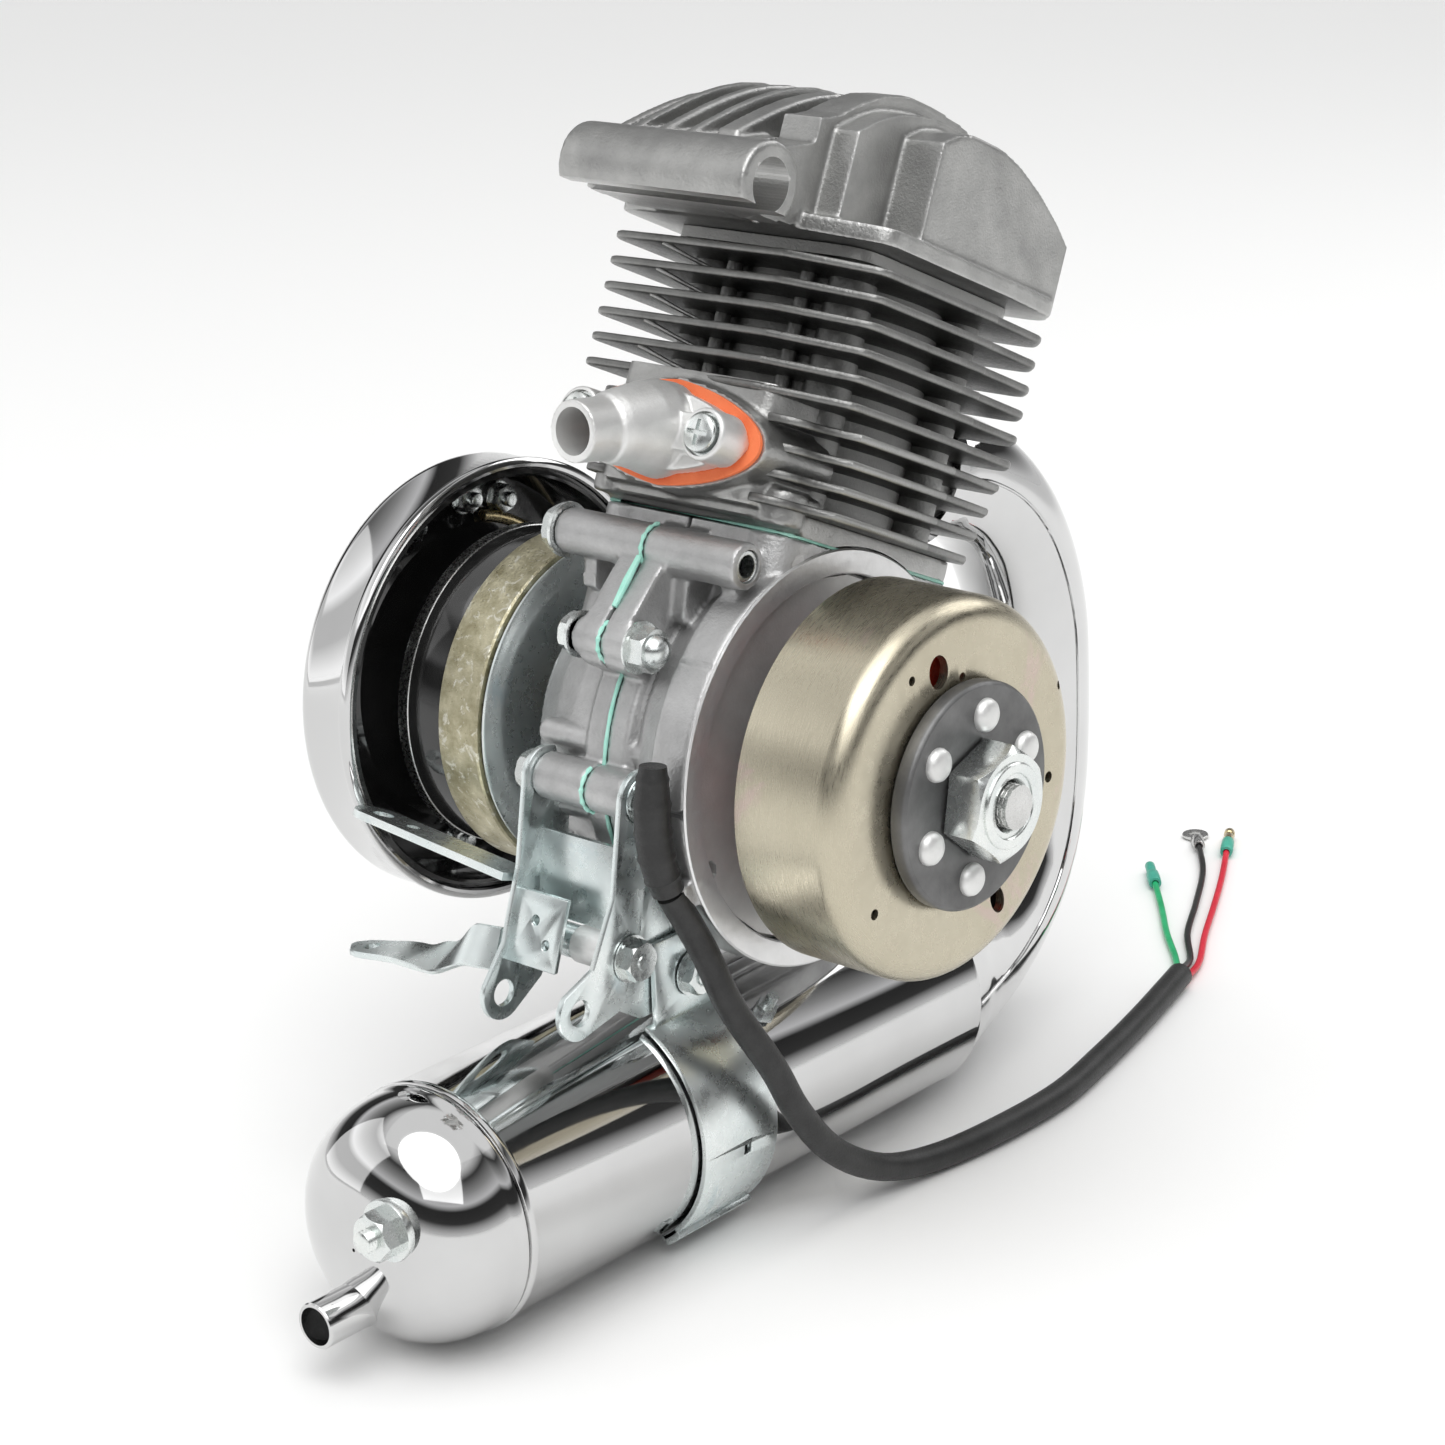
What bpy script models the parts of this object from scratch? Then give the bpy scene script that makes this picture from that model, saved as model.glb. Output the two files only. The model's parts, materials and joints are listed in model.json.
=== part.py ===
"""Air-cooled two-stroke moped engine with magneto flywheel, automatic clutch,
belt pulley and underslung silencer.

Metres, +Z up. X is the crankshaft axis (+X is the flywheel side), +Y is the
exhaust side, and the cylinder leans towards +Y. The frame's origin is the
centre of the hanger tube in the cylinder head.
"""
import math
import bpy
import bmesh
from mathutils import Matrix, Vector

MM = 0.001

# ---------------------------------------------------------------- dimensions
BORE_R = 19.6            # cylinder bore radius, 39 mm bore
STROKE = 41.8
CRANK_R = STROKE / 2
ROD_LEN = 83.0
LEAN = 24.0              # cylinder lean from vertical, degrees
PIN_Z = CRANK_R + ROD_LEN          # gudgeon pin height at top dead centre
DECK_Z = 132.5           # top deck of the cylinder above the crank centre
BASE_Z = 54.3            # crankcase mouth face
FIN_HALF = 46.5          # half width of a full fin
FIN_T = 2.3              # fin thickness
FIN_PITCH = 7.1
FIN_TOP = 128.2          # upper face of the topmost cylinder fin
FULL_FINS = 6
LOW_FINS = 4
HANGER_YC, HANGER_ZC = -76.4, 138.2   # hanger tube in cylinder axes
TUBE_R, TUBE_BORE, TUBE_HALF = 10.4, 7.3, 31.5
FLY_R = 52.0             # flywheel outer radius
FLY_X0, FLY_X1 = 45.5, 79.3
HOUSE_R, HOUSE_X0, HOUSE_X1 = 57.4, 20.0, 33.3
DRUM_R, DRUM_X0, DRUM_X1 = 64.5, -107.0, -84.6
BELL_R = 46.5
BAND_R = 48.5
DISC_R = 47.2
MUF_R = 34.0             # silencer body radius
MUF_Z = -95.5            # silencer axis height below the crank centre
MUF_Y0, MUF_Y1 = -118.0, 68.0
PIPE_R = 19.0
BOSS_UP = (-49.4, 43.9)  # upper mounting boss, cylinder axes (y, z)
BOSS_MID = (-58.1, 17.1)
BOSS_LOW = (-54.0, 0.6)  # lower boss, engine axes (y, z)
SEAM_R = 34.6
FLOOR_Z = MUF_Z - SEAM_R  # lowest level, where the harness lies
GAP = 0.3                # clearance between touching pieces
DETAIL = 0.6             # share of the nominal facet count used on round pieces

ca, sa = math.cos(math.radians(LEAN)), math.sin(math.radians(LEAN))


def cyl_to_engine(x, yc, zc):
    """cylinder axes -> engine axes (mm)"""
    return (x, yc * ca + zc * sa, -yc * sa + zc * ca)


HANGER = cyl_to_engine(0.0, HANGER_YC, HANGER_ZC)

# ---------------------------------------------------------------- scene reset
for ob in list(bpy.data.objects):
    bpy.data.objects.remove(ob, do_unlink=True)
for me in list(bpy.data.meshes):
    bpy.data.meshes.remove(me)
scene = bpy.context.scene


# ---------------------------------------------------------------- materials
def material(name, colour, rough, metal):
    m = bpy.data.materials.new(name)
    m.use_nodes = True
    b = m.node_tree.nodes["Principled BSDF"]
    b.inputs["Base Color"].default_value = (*colour, 1.0)
    b.inputs["Roughness"].default_value = rough
    b.inputs["Metallic"].default_value = metal
    return m


M_CAST = material("cast_aluminium", (0.55, 0.55, 0.54), 0.45, 0.9)
M_FIN = material("fin_aluminium", (0.30, 0.30, 0.29), 0.5, 0.9)
M_MACH = material("machined_aluminium", (0.72, 0.72, 0.71), 0.3, 1.0)
M_STEEL = material("bright_steel", (0.62, 0.62, 0.60), 0.25, 1.0)
M_DARK = material("dark_steel", (0.20, 0.20, 0.20), 0.4, 0.9)
M_IRON = material("cast_iron", (0.25, 0.25, 0.26), 0.55, 0.9)
M_ZINC = material("zinc_plate", (0.62, 0.68, 0.68), 0.25, 1.0)
M_CHROME = material("chrome", (0.85, 0.85, 0.85), 0.05, 1.0)
M_GOLD = material("yellow_chromate", (0.62, 0.57, 0.42), 0.3, 0.9)
M_BLACKP = material("black_paint", (0.02, 0.02, 0.02), 0.25, 0.3)
M_BRONZE = material("bronze", (0.60, 0.42, 0.20), 0.35, 1.0)
M_BRASS = material("brass", (0.75, 0.58, 0.25), 0.3, 1.0)
M_RUBBER = material("black_rubber", (0.02, 0.02, 0.02), 0.6, 0.0)
M_GASKET = material("orange_gasket", (0.90, 0.25, 0.10), 0.6, 0.0)
M_SEAL = material("teal_sealant", (0.25, 0.75, 0.60), 0.5, 0.0)
M_COIL = material("red_coil", (0.60, 0.06, 0.03), 0.4, 0.0)
M_RED = material("wire_red", (0.70, 0.03, 0.05), 0.4, 0.0)
M_GREEN = material("wire_green", (0.05, 0.45, 0.20), 0.4, 0.0)
M_TEAL = material("sleeve_green", (0.10, 0.45, 0.35), 0.4, 0.0)
M_PISTON = material("piston_alloy", (0.66, 0.66, 0.64), 0.35, 1.0)


# ---------------------------------------------------------------- mesh tools
def finish(bm, name):
    bmesh.ops.remove_doubles(bm, verts=bm.verts, dist=2e-6)
    bmesh.ops.dissolve_degenerate(bm, edges=bm.edges, dist=1e-7)
    bmesh.ops.recalc_face_normals(bm, faces=bm.faces)
    me = bpy.data.meshes.new(name)
    bm.to_mesh(me)
    bm.free()
    return me


def facets(n):
    return max(8, 2 * round(n * DETAIL / 2))


def lathe(profile, n=32, ring=False):
    """Turn (radius, z) points about Z. ring=True closes the profile."""
    n = facets(n)
    bm = bmesh.new()
    vs = [bm.verts.new((r * MM, 0.0, z * MM)) for r, z in profile]
    es = [bm.edges.new((vs[i], vs[i + 1])) for i in range(len(vs) - 1)]
    if ring:
        es.append(bm.edges.new((vs[-1], vs[0])))
    bmesh.ops.spin(bm, geom=vs + es, cent=(0, 0, 0), axis=(0, 0, 1),
                   angle=2 * math.pi, steps=n, use_merge=False, use_duplicate=False)
    return finish(bm, "lathe")


def prism(points, z0, z1):
    """Extrude a closed outline of (x, y) points from z0 to z1."""
    bm = bmesh.new()
    vs = [bm.verts.new((x * MM, y * MM, z0 * MM)) for x, y in points]
    f = bm.faces.new(vs)
    r = bmesh.ops.extrude_face_region(bm, geom=[f])
    up = [g for g in r["geom"] if isinstance(g, bmesh.types.BMVert)]
    bmesh.ops.translate(bm, verts=up, vec=(0, 0, (z1 - z0) * MM))
    return finish(bm, "prism")


def circle(cx, cy, r, n, phase=0.0):
    return [(cx + r * math.cos(2 * math.pi * (i + phase) / n),
             cy + r * math.sin(2 * math.pi * (i + phase) / n)) for i in range(n)]


def rounded_rect(hx, hy, rad, seg=4, cx=0.0, cy=0.0):
    pts = []
    for sx, sy, a0 in ((1, 1, 0), (-1, 1, 90), (-1, -1, 180), (1, -1, 270)):
        for k in range(seg + 1):
            a = math.radians(a0 + 90.0 * k / seg)
            pts.append((cx + sx * (hx - rad) + rad * math.cos(a),
                        cy + sy * (hy - rad) + rad * math.sin(a)))
    return pts


def cyl(r, z0, z1, n=24, cx=0.0, cy=0.0):
    return prism(circle(cx, cy, r, facets(n), 0.5), z0, z1)


def box(x0, x1, y0, y1, z0, z1):
    return prism([(x0, y0), (x1, y0), (x1, y1), (x0, y1)], z0, z1)


def moved(me, mat):
    me.transform(mat)
    if mat.determinant() < 0:
        me.flip_normals()
    return me


def shift(me, x=0.0, y=0.0, z=0.0):
    return moved(me, Matrix.Translation((x * MM, y * MM, z * MM)))


# local Z -> engine +X, local X -> engine -Z
TO_X = Matrix.Rotation(math.radians(90), 4, 'Y')
# local Z -> engine +Y
TO_Y = Matrix.Rotation(math.radians(-90), 4, 'X')
# cylinder axes -> engine axes
TO_CYL = Matrix.Rotation(math.radians(-LEAN), 4, 'X')


def yz_prism(points, x0, x1):
    """Outline of (y, z) points extruded along X."""
    me = prism(points, x0, x1)
    # (u, v, w) -> (w, u, v)
    return moved(me, Matrix(((0, 0, 1, 0), (1, 0, 0, 0), (0, 1, 0, 0), (0, 0, 0, 1))))


def xz_prism(points, y0, y1):
    """Outline of (x, z) points extruded along Y."""
    me = prism(points, y0, y1)
    return moved(me, Matrix(((1, 0, 0, 0), (0, 0, 1, 0), (0, 1, 0, 0), (0, 0, 0, 1))))


def x_cyl(r, x0, x1, y, z, n=20):
    return yz_prism(circle(y, z, r, facets(n), 0.5), x0, x1)


def combine(base, op, others, solver='EXACT'):
    """Boolean of plain meshes, all in one space."""
    ob = bpy.data.objects.new("tmp_base", base)
    scene.collection.objects.link(ob)
    temps = []
    for me in others:
        t = bpy.data.objects.new("tmp_tool", me)
        scene.collection.objects.link(t)
        temps.append(t)
        m = ob.modifiers.new("b", 'BOOLEAN')
        m.operation = op
        m.solver = solver
        m.object = t
    dg = bpy.context.evaluated_depsgraph_get()
    dg.update()
    res = bpy.data.meshes.new_from_object(ob.evaluated_get(dg))
    for t in temps:
        bpy.data.objects.remove(t, do_unlink=True)
    bpy.data.objects.remove(ob, do_unlink=True)
    bm = bmesh.new()
    bm.from_mesh(res)
    bmesh.ops.remove_doubles(bm, verts=bm.verts, dist=2e-6)
    bmesh.ops.dissolve_degenerate(bm, edges=bm.edges, dist=2e-6)
    bm.to_mesh(res)
    bm.free()
    return res


def union(base, *others):
    return combine(base, 'UNION', others)


def cut(base, *others):
    return combine(base, 'DIFFERENCE', others)


def loft(path, radii, n=16, wall=None, squash=None):
    """Round tube along a path of points (mm); hollow when wall is given."""
    P = [Vector(p) * MM for p in path]
    n = facets(n)
    bm = bmesh.new()
    rings = {0: [], 1: []}
    side = Vector((1, 0, 0))
    for i, p in enumerate(P):
        t = (P[min(i + 1, len(P) - 1)] - P[max(i - 1, 0)]).normalized()
        u = (side - t * side.dot(t)).normalized()
        v = t.cross(u)
        for k in ((0, 1) if wall else (0,)):
            r = (radii[i] - (wall if k else 0.0)) * MM
            rings[k].append([bm.verts.new(p + u * (r * math.cos(2 * math.pi * j / n))
                                          + v * (r * math.sin(2 * math.pi * j / n)))
                             for j in range(n)])

    def skin(rs):
        for a, b in zip(rs, rs[1:]):
            for j in range(n):
                bm.faces.new((a[j], a[(j + 1) % n], b[(j + 1) % n], b[j]))
    skin(rings[0])
    if wall:
        skin(rings[1])
        for e in (0, -1):
            a, b = rings[0][e], rings[1][e]
            for j in range(n):
                bm.faces.new((a[j], a[(j + 1) % n], b[(j + 1) % n], b[j]))
    else:
        bm.faces.new(rings[0][0])
        bm.faces.new(rings[0][-1])
    return finish(bm, "loft")


def smooth_curve(points, per=6):
    """Catmull-Rom through the route's points."""
    P = [Vector(p) for p in points]
    P = [P[0] * 2 - P[1]] + P + [P[-1] * 2 - P[-2]]
    out = []
    for i in range(1, len(P) - 2):
        p0, p1, p2, p3 = P[i - 1:i + 3]
        for k in range(per):
            t = k / per
            out.append(0.5 * ((2 * p1) + (p2 - p0) * t + (2 * p0 - 5 * p1 + 4 * p2 - p3) * t * t
                              + (3 * p1 - p0 - 3 * p2 + p3) * t ** 3))
    out.append(P[-2])
    return out


def resample(points, step):
    """Even spacing along a polyline."""
    out = [points[0].copy()]
    need = step
    for a, b in zip(points, points[1:]):
        seg = (b - a).length
        pos = 0.0
        while seg - pos >= need:
            pos += need
            out.append(a.lerp(b, pos / seg))
            need = step
        need -= seg - pos
    if (out[-1] - points[-1]).length > step * 0.4:
        out.append(points[-1].copy())
    else:
        out[-1] = points[-1].copy()
    return out


# ---------------------------------------------------------------- frames
def empty(name, parent=None, loc=(0, 0, 0), rot=(0, 0, 0)):
    e = bpy.data.objects.new(name, None)
    scene.collection.objects.link(e)
    e.parent = parent
    e.location = [c * MM for c in loc]
    e.rotation_euler = [math.radians(a) for a in rot]
    return e


ENGINE = empty("engine_frame", loc=(-HANGER[0], -HANGER[1], -HANGER[2]))
CYL = empty("cylinder_frame", ENGINE, rot=(-LEAN, 0, 0))
CRANK = empty("crank_axis", ENGINE)
PULLEY = empty("pulley_axis", ENGINE)
PISTON = empty("piston_axis", CYL, loc=(0, 0, PIN_Z))
ROD = empty("rod_axis", PISTON)


def add(name, me, mat, parent, loc=(0, 0, 0), rot=(0, 0, 0), bevel=None, angle=35):
    ob = bpy.data.objects.new(name, me)
    scene.collection.objects.link(ob)
    me.materials.clear()
    me.materials.append(mat)
    ob.parent = parent
    ob.location = [c * MM for c in loc]
    ob.rotation_euler = [math.radians(a) for a in rot]
    if bevel:
        b = ob.modifiers.new("bevel", 'BEVEL')
        b.width = bevel * MM
        b.segments = 1
        b.limit_method = 'ANGLE'
        b.angle_limit = math.radians(50)
    me.shade_smooth()
    me.set_sharp_from_angle(angle=math.radians(angle))
    return ob


def hexagon(af, cx=0.0, cy=0.0, turn=0.0):
    r = af / math.sqrt(3)
    return [(cx + r * math.cos(math.radians(60 * i + turn)),
             cy + r * math.sin(math.radians(60 * i + turn))) for i in range(6)]


def washer_nut(af, r_hole, x0, x1, y, z, turn=0.0, n=16):
    """Hexagon nut along X with a through hole."""
    nut = yz_prism(hexagon(af, y, z, turn), x0, x1)
    return cut(nut, x_cyl(r_hole, x0 - 1, x1 + 1, y, z, n))


def bolt_x(r, x0, x1, af, head_x0, head_x1, y, z, turn=0.0, n=14):
    """Shank along X with a hexagon head."""
    return union(x_cyl(r, x0, x1, y, z, n), yz_prism(hexagon(af, y, z, turn), head_x0, head_x1))


# ================================================================ crankcase
up_y, up_z = cyl_to_engine(0, *BOSS_UP)[1:]
mid_y, mid_z = cyl_to_engine(0, *BOSS_MID)[1:]
low_y, low_z = BOSS_LOW
BACK_UP = cyl_to_engine(0, 49.0, 44.0)[1:]


def neck(x0, x1):
    """Block below the cylinder base, in engine axes."""
    pts = [(-39, 20), (39, 20), (39, BASE_Z), (-39, BASE_Z)]
    return moved(yz_prism(pts, x0, x1), TO_CYL)


def case_cutters():
    web = moved(lathe([(0, -17.2), (38.2, -17.2), (38.2, -6.8), (44.6, -6.8), (44.6, 6.8),
                       (38.2, 6.8), (38.2, 17.2), (0, 17.2)], 32), TO_X)
    mouth = moved(cyl(24.6, 20, 70, 32), TO_CYL)
    return [web, mouth]


def stud_holes(z0, z1, r=3.45):
    return [moved(cyl(r, z0, z1, 12, sx * 23.5, sy * 24.5), TO_CYL)
            for sx in (-1, 1) for sy in (-1, 1)]


# right half with the magneto housing
right = moved(lathe([(0, 0.55), (50.5, 0.55), (50.5, 11), (43.5, 13), (43.5, HOUSE_X0),
                     (HOUSE_R, HOUSE_X0), (HOUSE_R, HOUSE_X1), (25.0, HOUSE_X1), (19.0, 36.5), (0, 36.5)], 44), TO_X)
FLANGE_FRONT = [cyl_to_engine(0, y, z)[1:] for y, z in ((-36, 50), (-49.4, 48), (-61, 20), (-55, 12), (-36, 15))]
FLANGE_BACK = [cyl_to_engine(0, y, z)[1:] for y, z in ((36, 52), (50, 49), (53, 40), (44, 24), (30, 30))]
right = union(right, neck(0.55, 33.0), yz_prism(FLANGE_FRONT, 0.55, 8.5), yz_prism(FLANGE_BACK, 0.55, 8.5),
              x_cyl(6.3, 0.55, 31.8, up_y, up_z, 18),
              x_cyl(5.6, 0.55, 9.7, mid_y, mid_z, 16),
              x_cyl(7.0, 0.55, 13.5, low_y, low_z, 18),
              x_cyl(6.3, 0.55, 19.5, *BACK_UP, 14),
              )
right = cut(right, *case_cutters(),
            moved(lathe([(0, 16.0), (20.9, 16.0), (20.9, 29.9), (16.0, 29.9), (16.0, 40), (0, 40)], 24), TO_X),
            moved(lathe([(23.8, 27.0), (53.4, 27.0), (53.4, 40.0), (23.8, 40.0)], 44, ring=True), TO_X),
            x_cyl(4.3, -1, 40, up_y, up_z, 16),
            x_cyl(3.3, -1, 12, mid_y, mid_z, 12),
            x_cyl(3.5, -1, 20, low_y, low_z, 12),
            x_cyl(3.3, -1, 22, *BACK_UP, 12),
            *stud_holes(42.0, 60))
add("crankcase_right", right, M_CAST, ENGINE)

left = moved(lathe([(0, -0.55), (50.5, -0.55), (50.5, -11), (43.5, -13), (43.5, -22),
                    (40.5, -34), (36.5, -37), (19.0, -37), (18.5, -39.5), (0, -39.5)], 40), TO_X)
left = union(left, neck(-33.0, -0.55), yz_prism(FLANGE_FRONT, -8.5, -0.55), yz_prism(FLANGE_BACK, -8.5, -0.55),
             x_cyl(6.3, -31.6, -0.55, up_y, up_z, 18),
             x_cyl(5.6, -10.2, -0.55, mid_y, mid_z, 16),
             x_cyl(7.0, -18.4, -0.55, low_y, low_z, 18),
             x_cyl(6.3, -19.5, -0.55, *BACK_UP, 14),
             )
left = cut(left, *case_cutters(),
           moved(lathe([(0, -16.0), (20.9, -16.0), (20.9, -29.9), (16.0, -29.9), (16.0, -42), (0, -42)], 24), TO_X),
           x_cyl(4.3, -40, 1, up_y, up_z, 16),
           x_cyl(3.3, -12, 1, mid_y, mid_z, 12),
           x_cyl(3.5, -20, 1, low_y, low_z, 12),
           x_cyl(3.3, -22, 1, *BACK_UP, 12),
           *stud_holes(42.0, 60))
add("crankcase_left", left, M_CAST, ENGINE)

# sealant bead between the halves
bead = moved(lathe([(46.4, -0.25), (50.2, -0.25), (50.2, 0.25), (46.4, 0.25)], 40, ring=True), TO_X)
bead = cut(bead, moved(yz_prism([(-45, 22), (45, 22), (45, 80), (-45, 80)], -2, 2), TO_CYL))
add("crankcase_sealant", bead, M_SEAL, ENGINE)

# ---------------------------------------------------------------- bearings, seals
for side, s in (("right", 1), ("left", -1)):
    ring = [(10.2, s * 17.7), (13.0, s * 17.7), (13.4, s * 18.6), (17.4, s * 18.6), (17.8, s * 17.7),
            (20.6, s * 17.7), (20.6, s * 29.5), (10.2, s * 29.5)]
    add("main_bearing_" + side, lathe(ring, 24, ring=True), M_STEEL, ENGINE, rot=(0, 90, 0))

# ================================================================ cylinder
def fin_outline(half, yc0, yc1):
    pts = rounded_rect(half, (yc1 - yc0) / 2, 13.0, 2, 0.0, (yc0 + yc1) / 2)
    return pts


stud_xy = [(sx * 23.5, sy * 24.5) for sx in (-1, 1) for sy in (-1, 1)]
barrel = prism(rounded_rect(30.5, 31.5, 9, 2), BASE_Z + 0.9, DECK_Z)
base = prism(rounded_rect(32.5, 38.5, 6, 3), BASE_Z + 0.9, BASE_Z + 6.2)
parts = [base]
for k in range(FULL_FINS):
    zt = FIN_TOP - k * FIN_PITCH
    parts.append(prism(fin_outline(FIN_HALF, -FIN_HALF - 1.5, FIN_HALF), zt - FIN_T, zt))
for k in range(LOW_FINS):
    zt = FIN_TOP - (FULL_FINS + k) * FIN_PITCH
    half = FIN_HALF - 2.0 - 1.5 * k
    y0 = -36.0 if k else -40.0
    parts.append(prism(rounded_rect(half, (half - y0) / 2, 11.0, 2, 0.0, (half + y0) / 2), zt - FIN_T, zt))
# intake block and exhaust stub
parts.append(prism(rounded_rect(27.0, 28.0, 5, 2, 0.0, -27.0), 58.5, 90.0))
exh = moved(lathe([(0, 0), (16.5, 0), (16.5, 47.0), (0, 47.0)], 24), TO_Y)
shift(exh, 0, 0, 88.0)
parts.append(exh)
barrel = union(barrel, *parts)
inlet = moved(lathe([(0, -60), (8.0, -60), (8.0, -10), (0, -10)], 20), TO_Y)
shift(inlet, 0, 0, 74.0)
outlet = moved(lathe([(0, 10), (11.5, 10), (11.5, 50), (0, 50)], 20), TO_Y)
shift(outlet, 0, 0, 88.0)
relief = moved(lathe([(0, HOUSE_X0 - 0.4), (HOUSE_R + 0.9, HOUSE_X0 - 0.4), (HOUSE_R + 0.9, 50), (0, 50)], 44), TO_X)
barrel = cut(barrel, cyl(22.95, 40, 140, 32), inlet, outlet, relief,
             *[cyl(3.45, 40, 140, 12, x, y) for x, y in stud_xy],
             *[moved(lathe([(0, 0), (2.8, 0), (2.8, 16), (0, 16)], 10), Matrix.Translation((x * MM, -0.056, 0.0775)) @ TO_Y)
               for x in (-21.8, 21.8)])
add("cylinder", barrel, M_FIN, CYL)

sleeve = lathe([(BORE_R, 54.6), (22.45, 54.6), (22.45, DECK_Z - 0.1), (BORE_R, DECK_Z - 0.1)], 32, ring=True)
inl = shift(moved(lathe([(0, -30), (7.5, -30), (7.5, -5), (0, -5)], 16), TO_Y), 0, 0, 74.0)
out = shift(moved(lathe([(0, 5), (10.5, 5), (10.5, 30), (0, 30)], 16), TO_Y), 0, 0, 88.0)
add("cylinder_sleeve", cut(sleeve, inl, out), M_IRON, CYL)

# ================================================================ head
HEAD_Z = DECK_Z + 0.3
plate = prism(rounded_rect(46.0, 46.5, 12, 2), HEAD_Z, HEAD_Z + 4.5)


def head_top(y):
    """Crown line of the head in cylinder axes: rises from the hanger to the crown, falls to the exhaust side."""
    if y < -4:
        t = (y + 70.0) / 66.0
        return 147.0 + 33.0 * math.sin(max(0.0, min(1.0, t)) * math.pi / 2)
    t = (y + 4.0) / 50.0
    return 180.0 - 17.0 * t ** 2


def fin_profile(y0, y1, drop, steps=6):
    top = [(y0 + (y1 - y0) * i / steps) for i in range(steps + 1)]
    return [(y0, HEAD_Z + 2)] + [(y, head_top(y) - drop) for y in top] + [(y1, HEAD_Z + 2)]


core = yz_prism([(-44, HEAD_Z + 1), (-44, 146), (-30, 153), (0, 158), (30, 153), (45, 147), (45, HEAD_Z + 1)], -40, 40)
head_parts = [core]
for i, x in enumerate((-42.0, -32.5, -23.0, -13.5, -4.0)):
    drop = 6.0 if i == 0 else 1.5 if i == 1 else 0.0
    head_parts.append(yz_prism(fin_profile(-62.0 if i else -46.0, 45.5, drop), x - 1.5, x + 1.5))
head_parts.append(yz_prism(fin_profile(-46.0, 46.0, 1.0), 16.0, 20.0))
head_parts.append(yz_prism(fin_profile(-40.0, 46.0, 7.0), 27.0, 43.5))
tube = x_cyl(TUBE_R, -TUBE_HALF, TUBE_HALF, HANGER_YC, HANGER_ZC, 24)
arm = yz_prism([(-44, 134.5), (-74, 131.5), (-80, 140), (-60, 152), (-44, 156)], -26, 22)
head = union(plate, *head_parts, arm, tube)
chamber = lathe([(0, HEAD_Z + 15), (9, HEAD_Z + 13.5), (17, HEAD_Z + 7), (19.8, HEAD_Z - 2), (0, HEAD_Z - 2)], 24)
plug = moved(lathe([(0, 0), (7.0, 0), (7.0, 40), (0, 40)], 16), Matrix.Translation((0.006, 0.0, (HEAD_Z + 10) * MM)))
well = moved(lathe([(0, 0), (13.0, 0), (13.0, 60), (0, 60)], 20), Matrix.Translation((0.006, 0.0, 0.159)))
head = cut(head, x_cyl(TUBE_BORE, -40, 40, HANGER_YC, HANGER_ZC, 20), chamber, plug, well,
           *[cyl(3.45, 100, 190, 12, x, y) for x, y in stud_xy],
           *[cyl(8.0, 149.0, 190, 12, x, y) for x, y in stud_xy])
add("cylinder_head", head, M_CAST, CYL)

for i, (x, y) in enumerate(stud_xy):
    stud = union(cyl(3.1, 44.0, 157.5, 12, x, y), prism(hexagon(10.0, x, y, 15), 149.3, 155.5))
    add("head_stud_%d" % (i + 1), stud, M_ZINC, CYL)

# ================================================================ intake
gz = 77.5
flange_pts = []
for k in range(24):
    a = 2 * math.pi * k / 24
    rx = 27.5 if abs(math.cos(a)) > 0 else 27.5
    flange_pts.append((31.0 * math.cos(a), gz + 14.0 * math.sin(a) * (1.0 - 0.18 * abs(math.cos(a)))))
gk = xz_prism(flange_pts, -56.4, -55.3)
gk = cut(gk, shift(moved(cyl(8.3, -70, -40, 20), TO_Y), 0, 0, 74.0),
         *[shift(moved(cyl(3.2, -70, -40, 12), TO_Y), x, 0, gz) for x in (-21.8, 21.8)])
add("intake_gasket", gk, M_GASKET, CYL)

fl_pts = [(28.5 * math.cos(2 * math.pi * k / 24),
           gz + 11.5 * math.sin(2 * math.pi * k / 24) * (1.0 - 0.15 * abs(math.cos(2 * math.pi * k / 24)))) for k in range(24)]
man = xz_prism(fl_pts, -62.5, -56.7)
man = union(man, *[shift(moved(cyl(6.8, -68.5, -60, 14), TO_Y), x, 0, gz) for x in (-21.8, 21.8)],
            loft([(0, -58, 74), (0, -68, 73.0), (-1, -78, 70.5), (-2, -90, 66.5)], [11.5, 11.0, 8.4, 7.8], 18))
man = cut(man, loft([(0, -50, 74.2), (0, -68, 73.0), (-1, -78, 70.5), (-2, -96, 64.5)], [7.0, 6.6, 5.8, 5.8], 14),
          *[shift(moved(cyl(3.2, -80, -40, 12), TO_Y), x, 0, gz) for x in (-21.8, 21.8)])
add("intake_manifold", man, M_MACH, CYL)
for side, x in (("left", -21.8), ("right", 21.8)):
    screw = moved(union(lathe([(0, -74.0), (4.9, -74.0), (5.2, -73.2), (5.2, -68.8), (0, -68.8)], 14),
                        cyl(2.5, -69.5, -41.5, 12)), TO_Y)
    add("intake_screw_" + side, shift(screw, x, 0, gz), M_ZINC, CYL)

# ================================================================ crank train
shaft_r = lathe([(0, 6.2), (36.0, 6.2), (36.0, 16.8), (9.9, 16.8), (9.9, 40), (7.5, 78), (6.0, 78), (6.0, 98.0), (0, 98.0)], 24)
add("crankshaft_right", shaft_r, M_STEEL, CRANK, rot=(0, 90, 0))
shaft_l = lathe([(0, -6.2), (36.0, -6.2), (36.0, -16.8), (9.9, -16.8), (9.9, -38), (8.4, -38.4), (8.4, -104.0),
                 (5.9, -104.0), (5.9, -116.0), (0, -116.0)], 24)
add("crankshaft_left", shaft_l, M_STEEL, CRANK, rot=(0, 90, 0))

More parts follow.
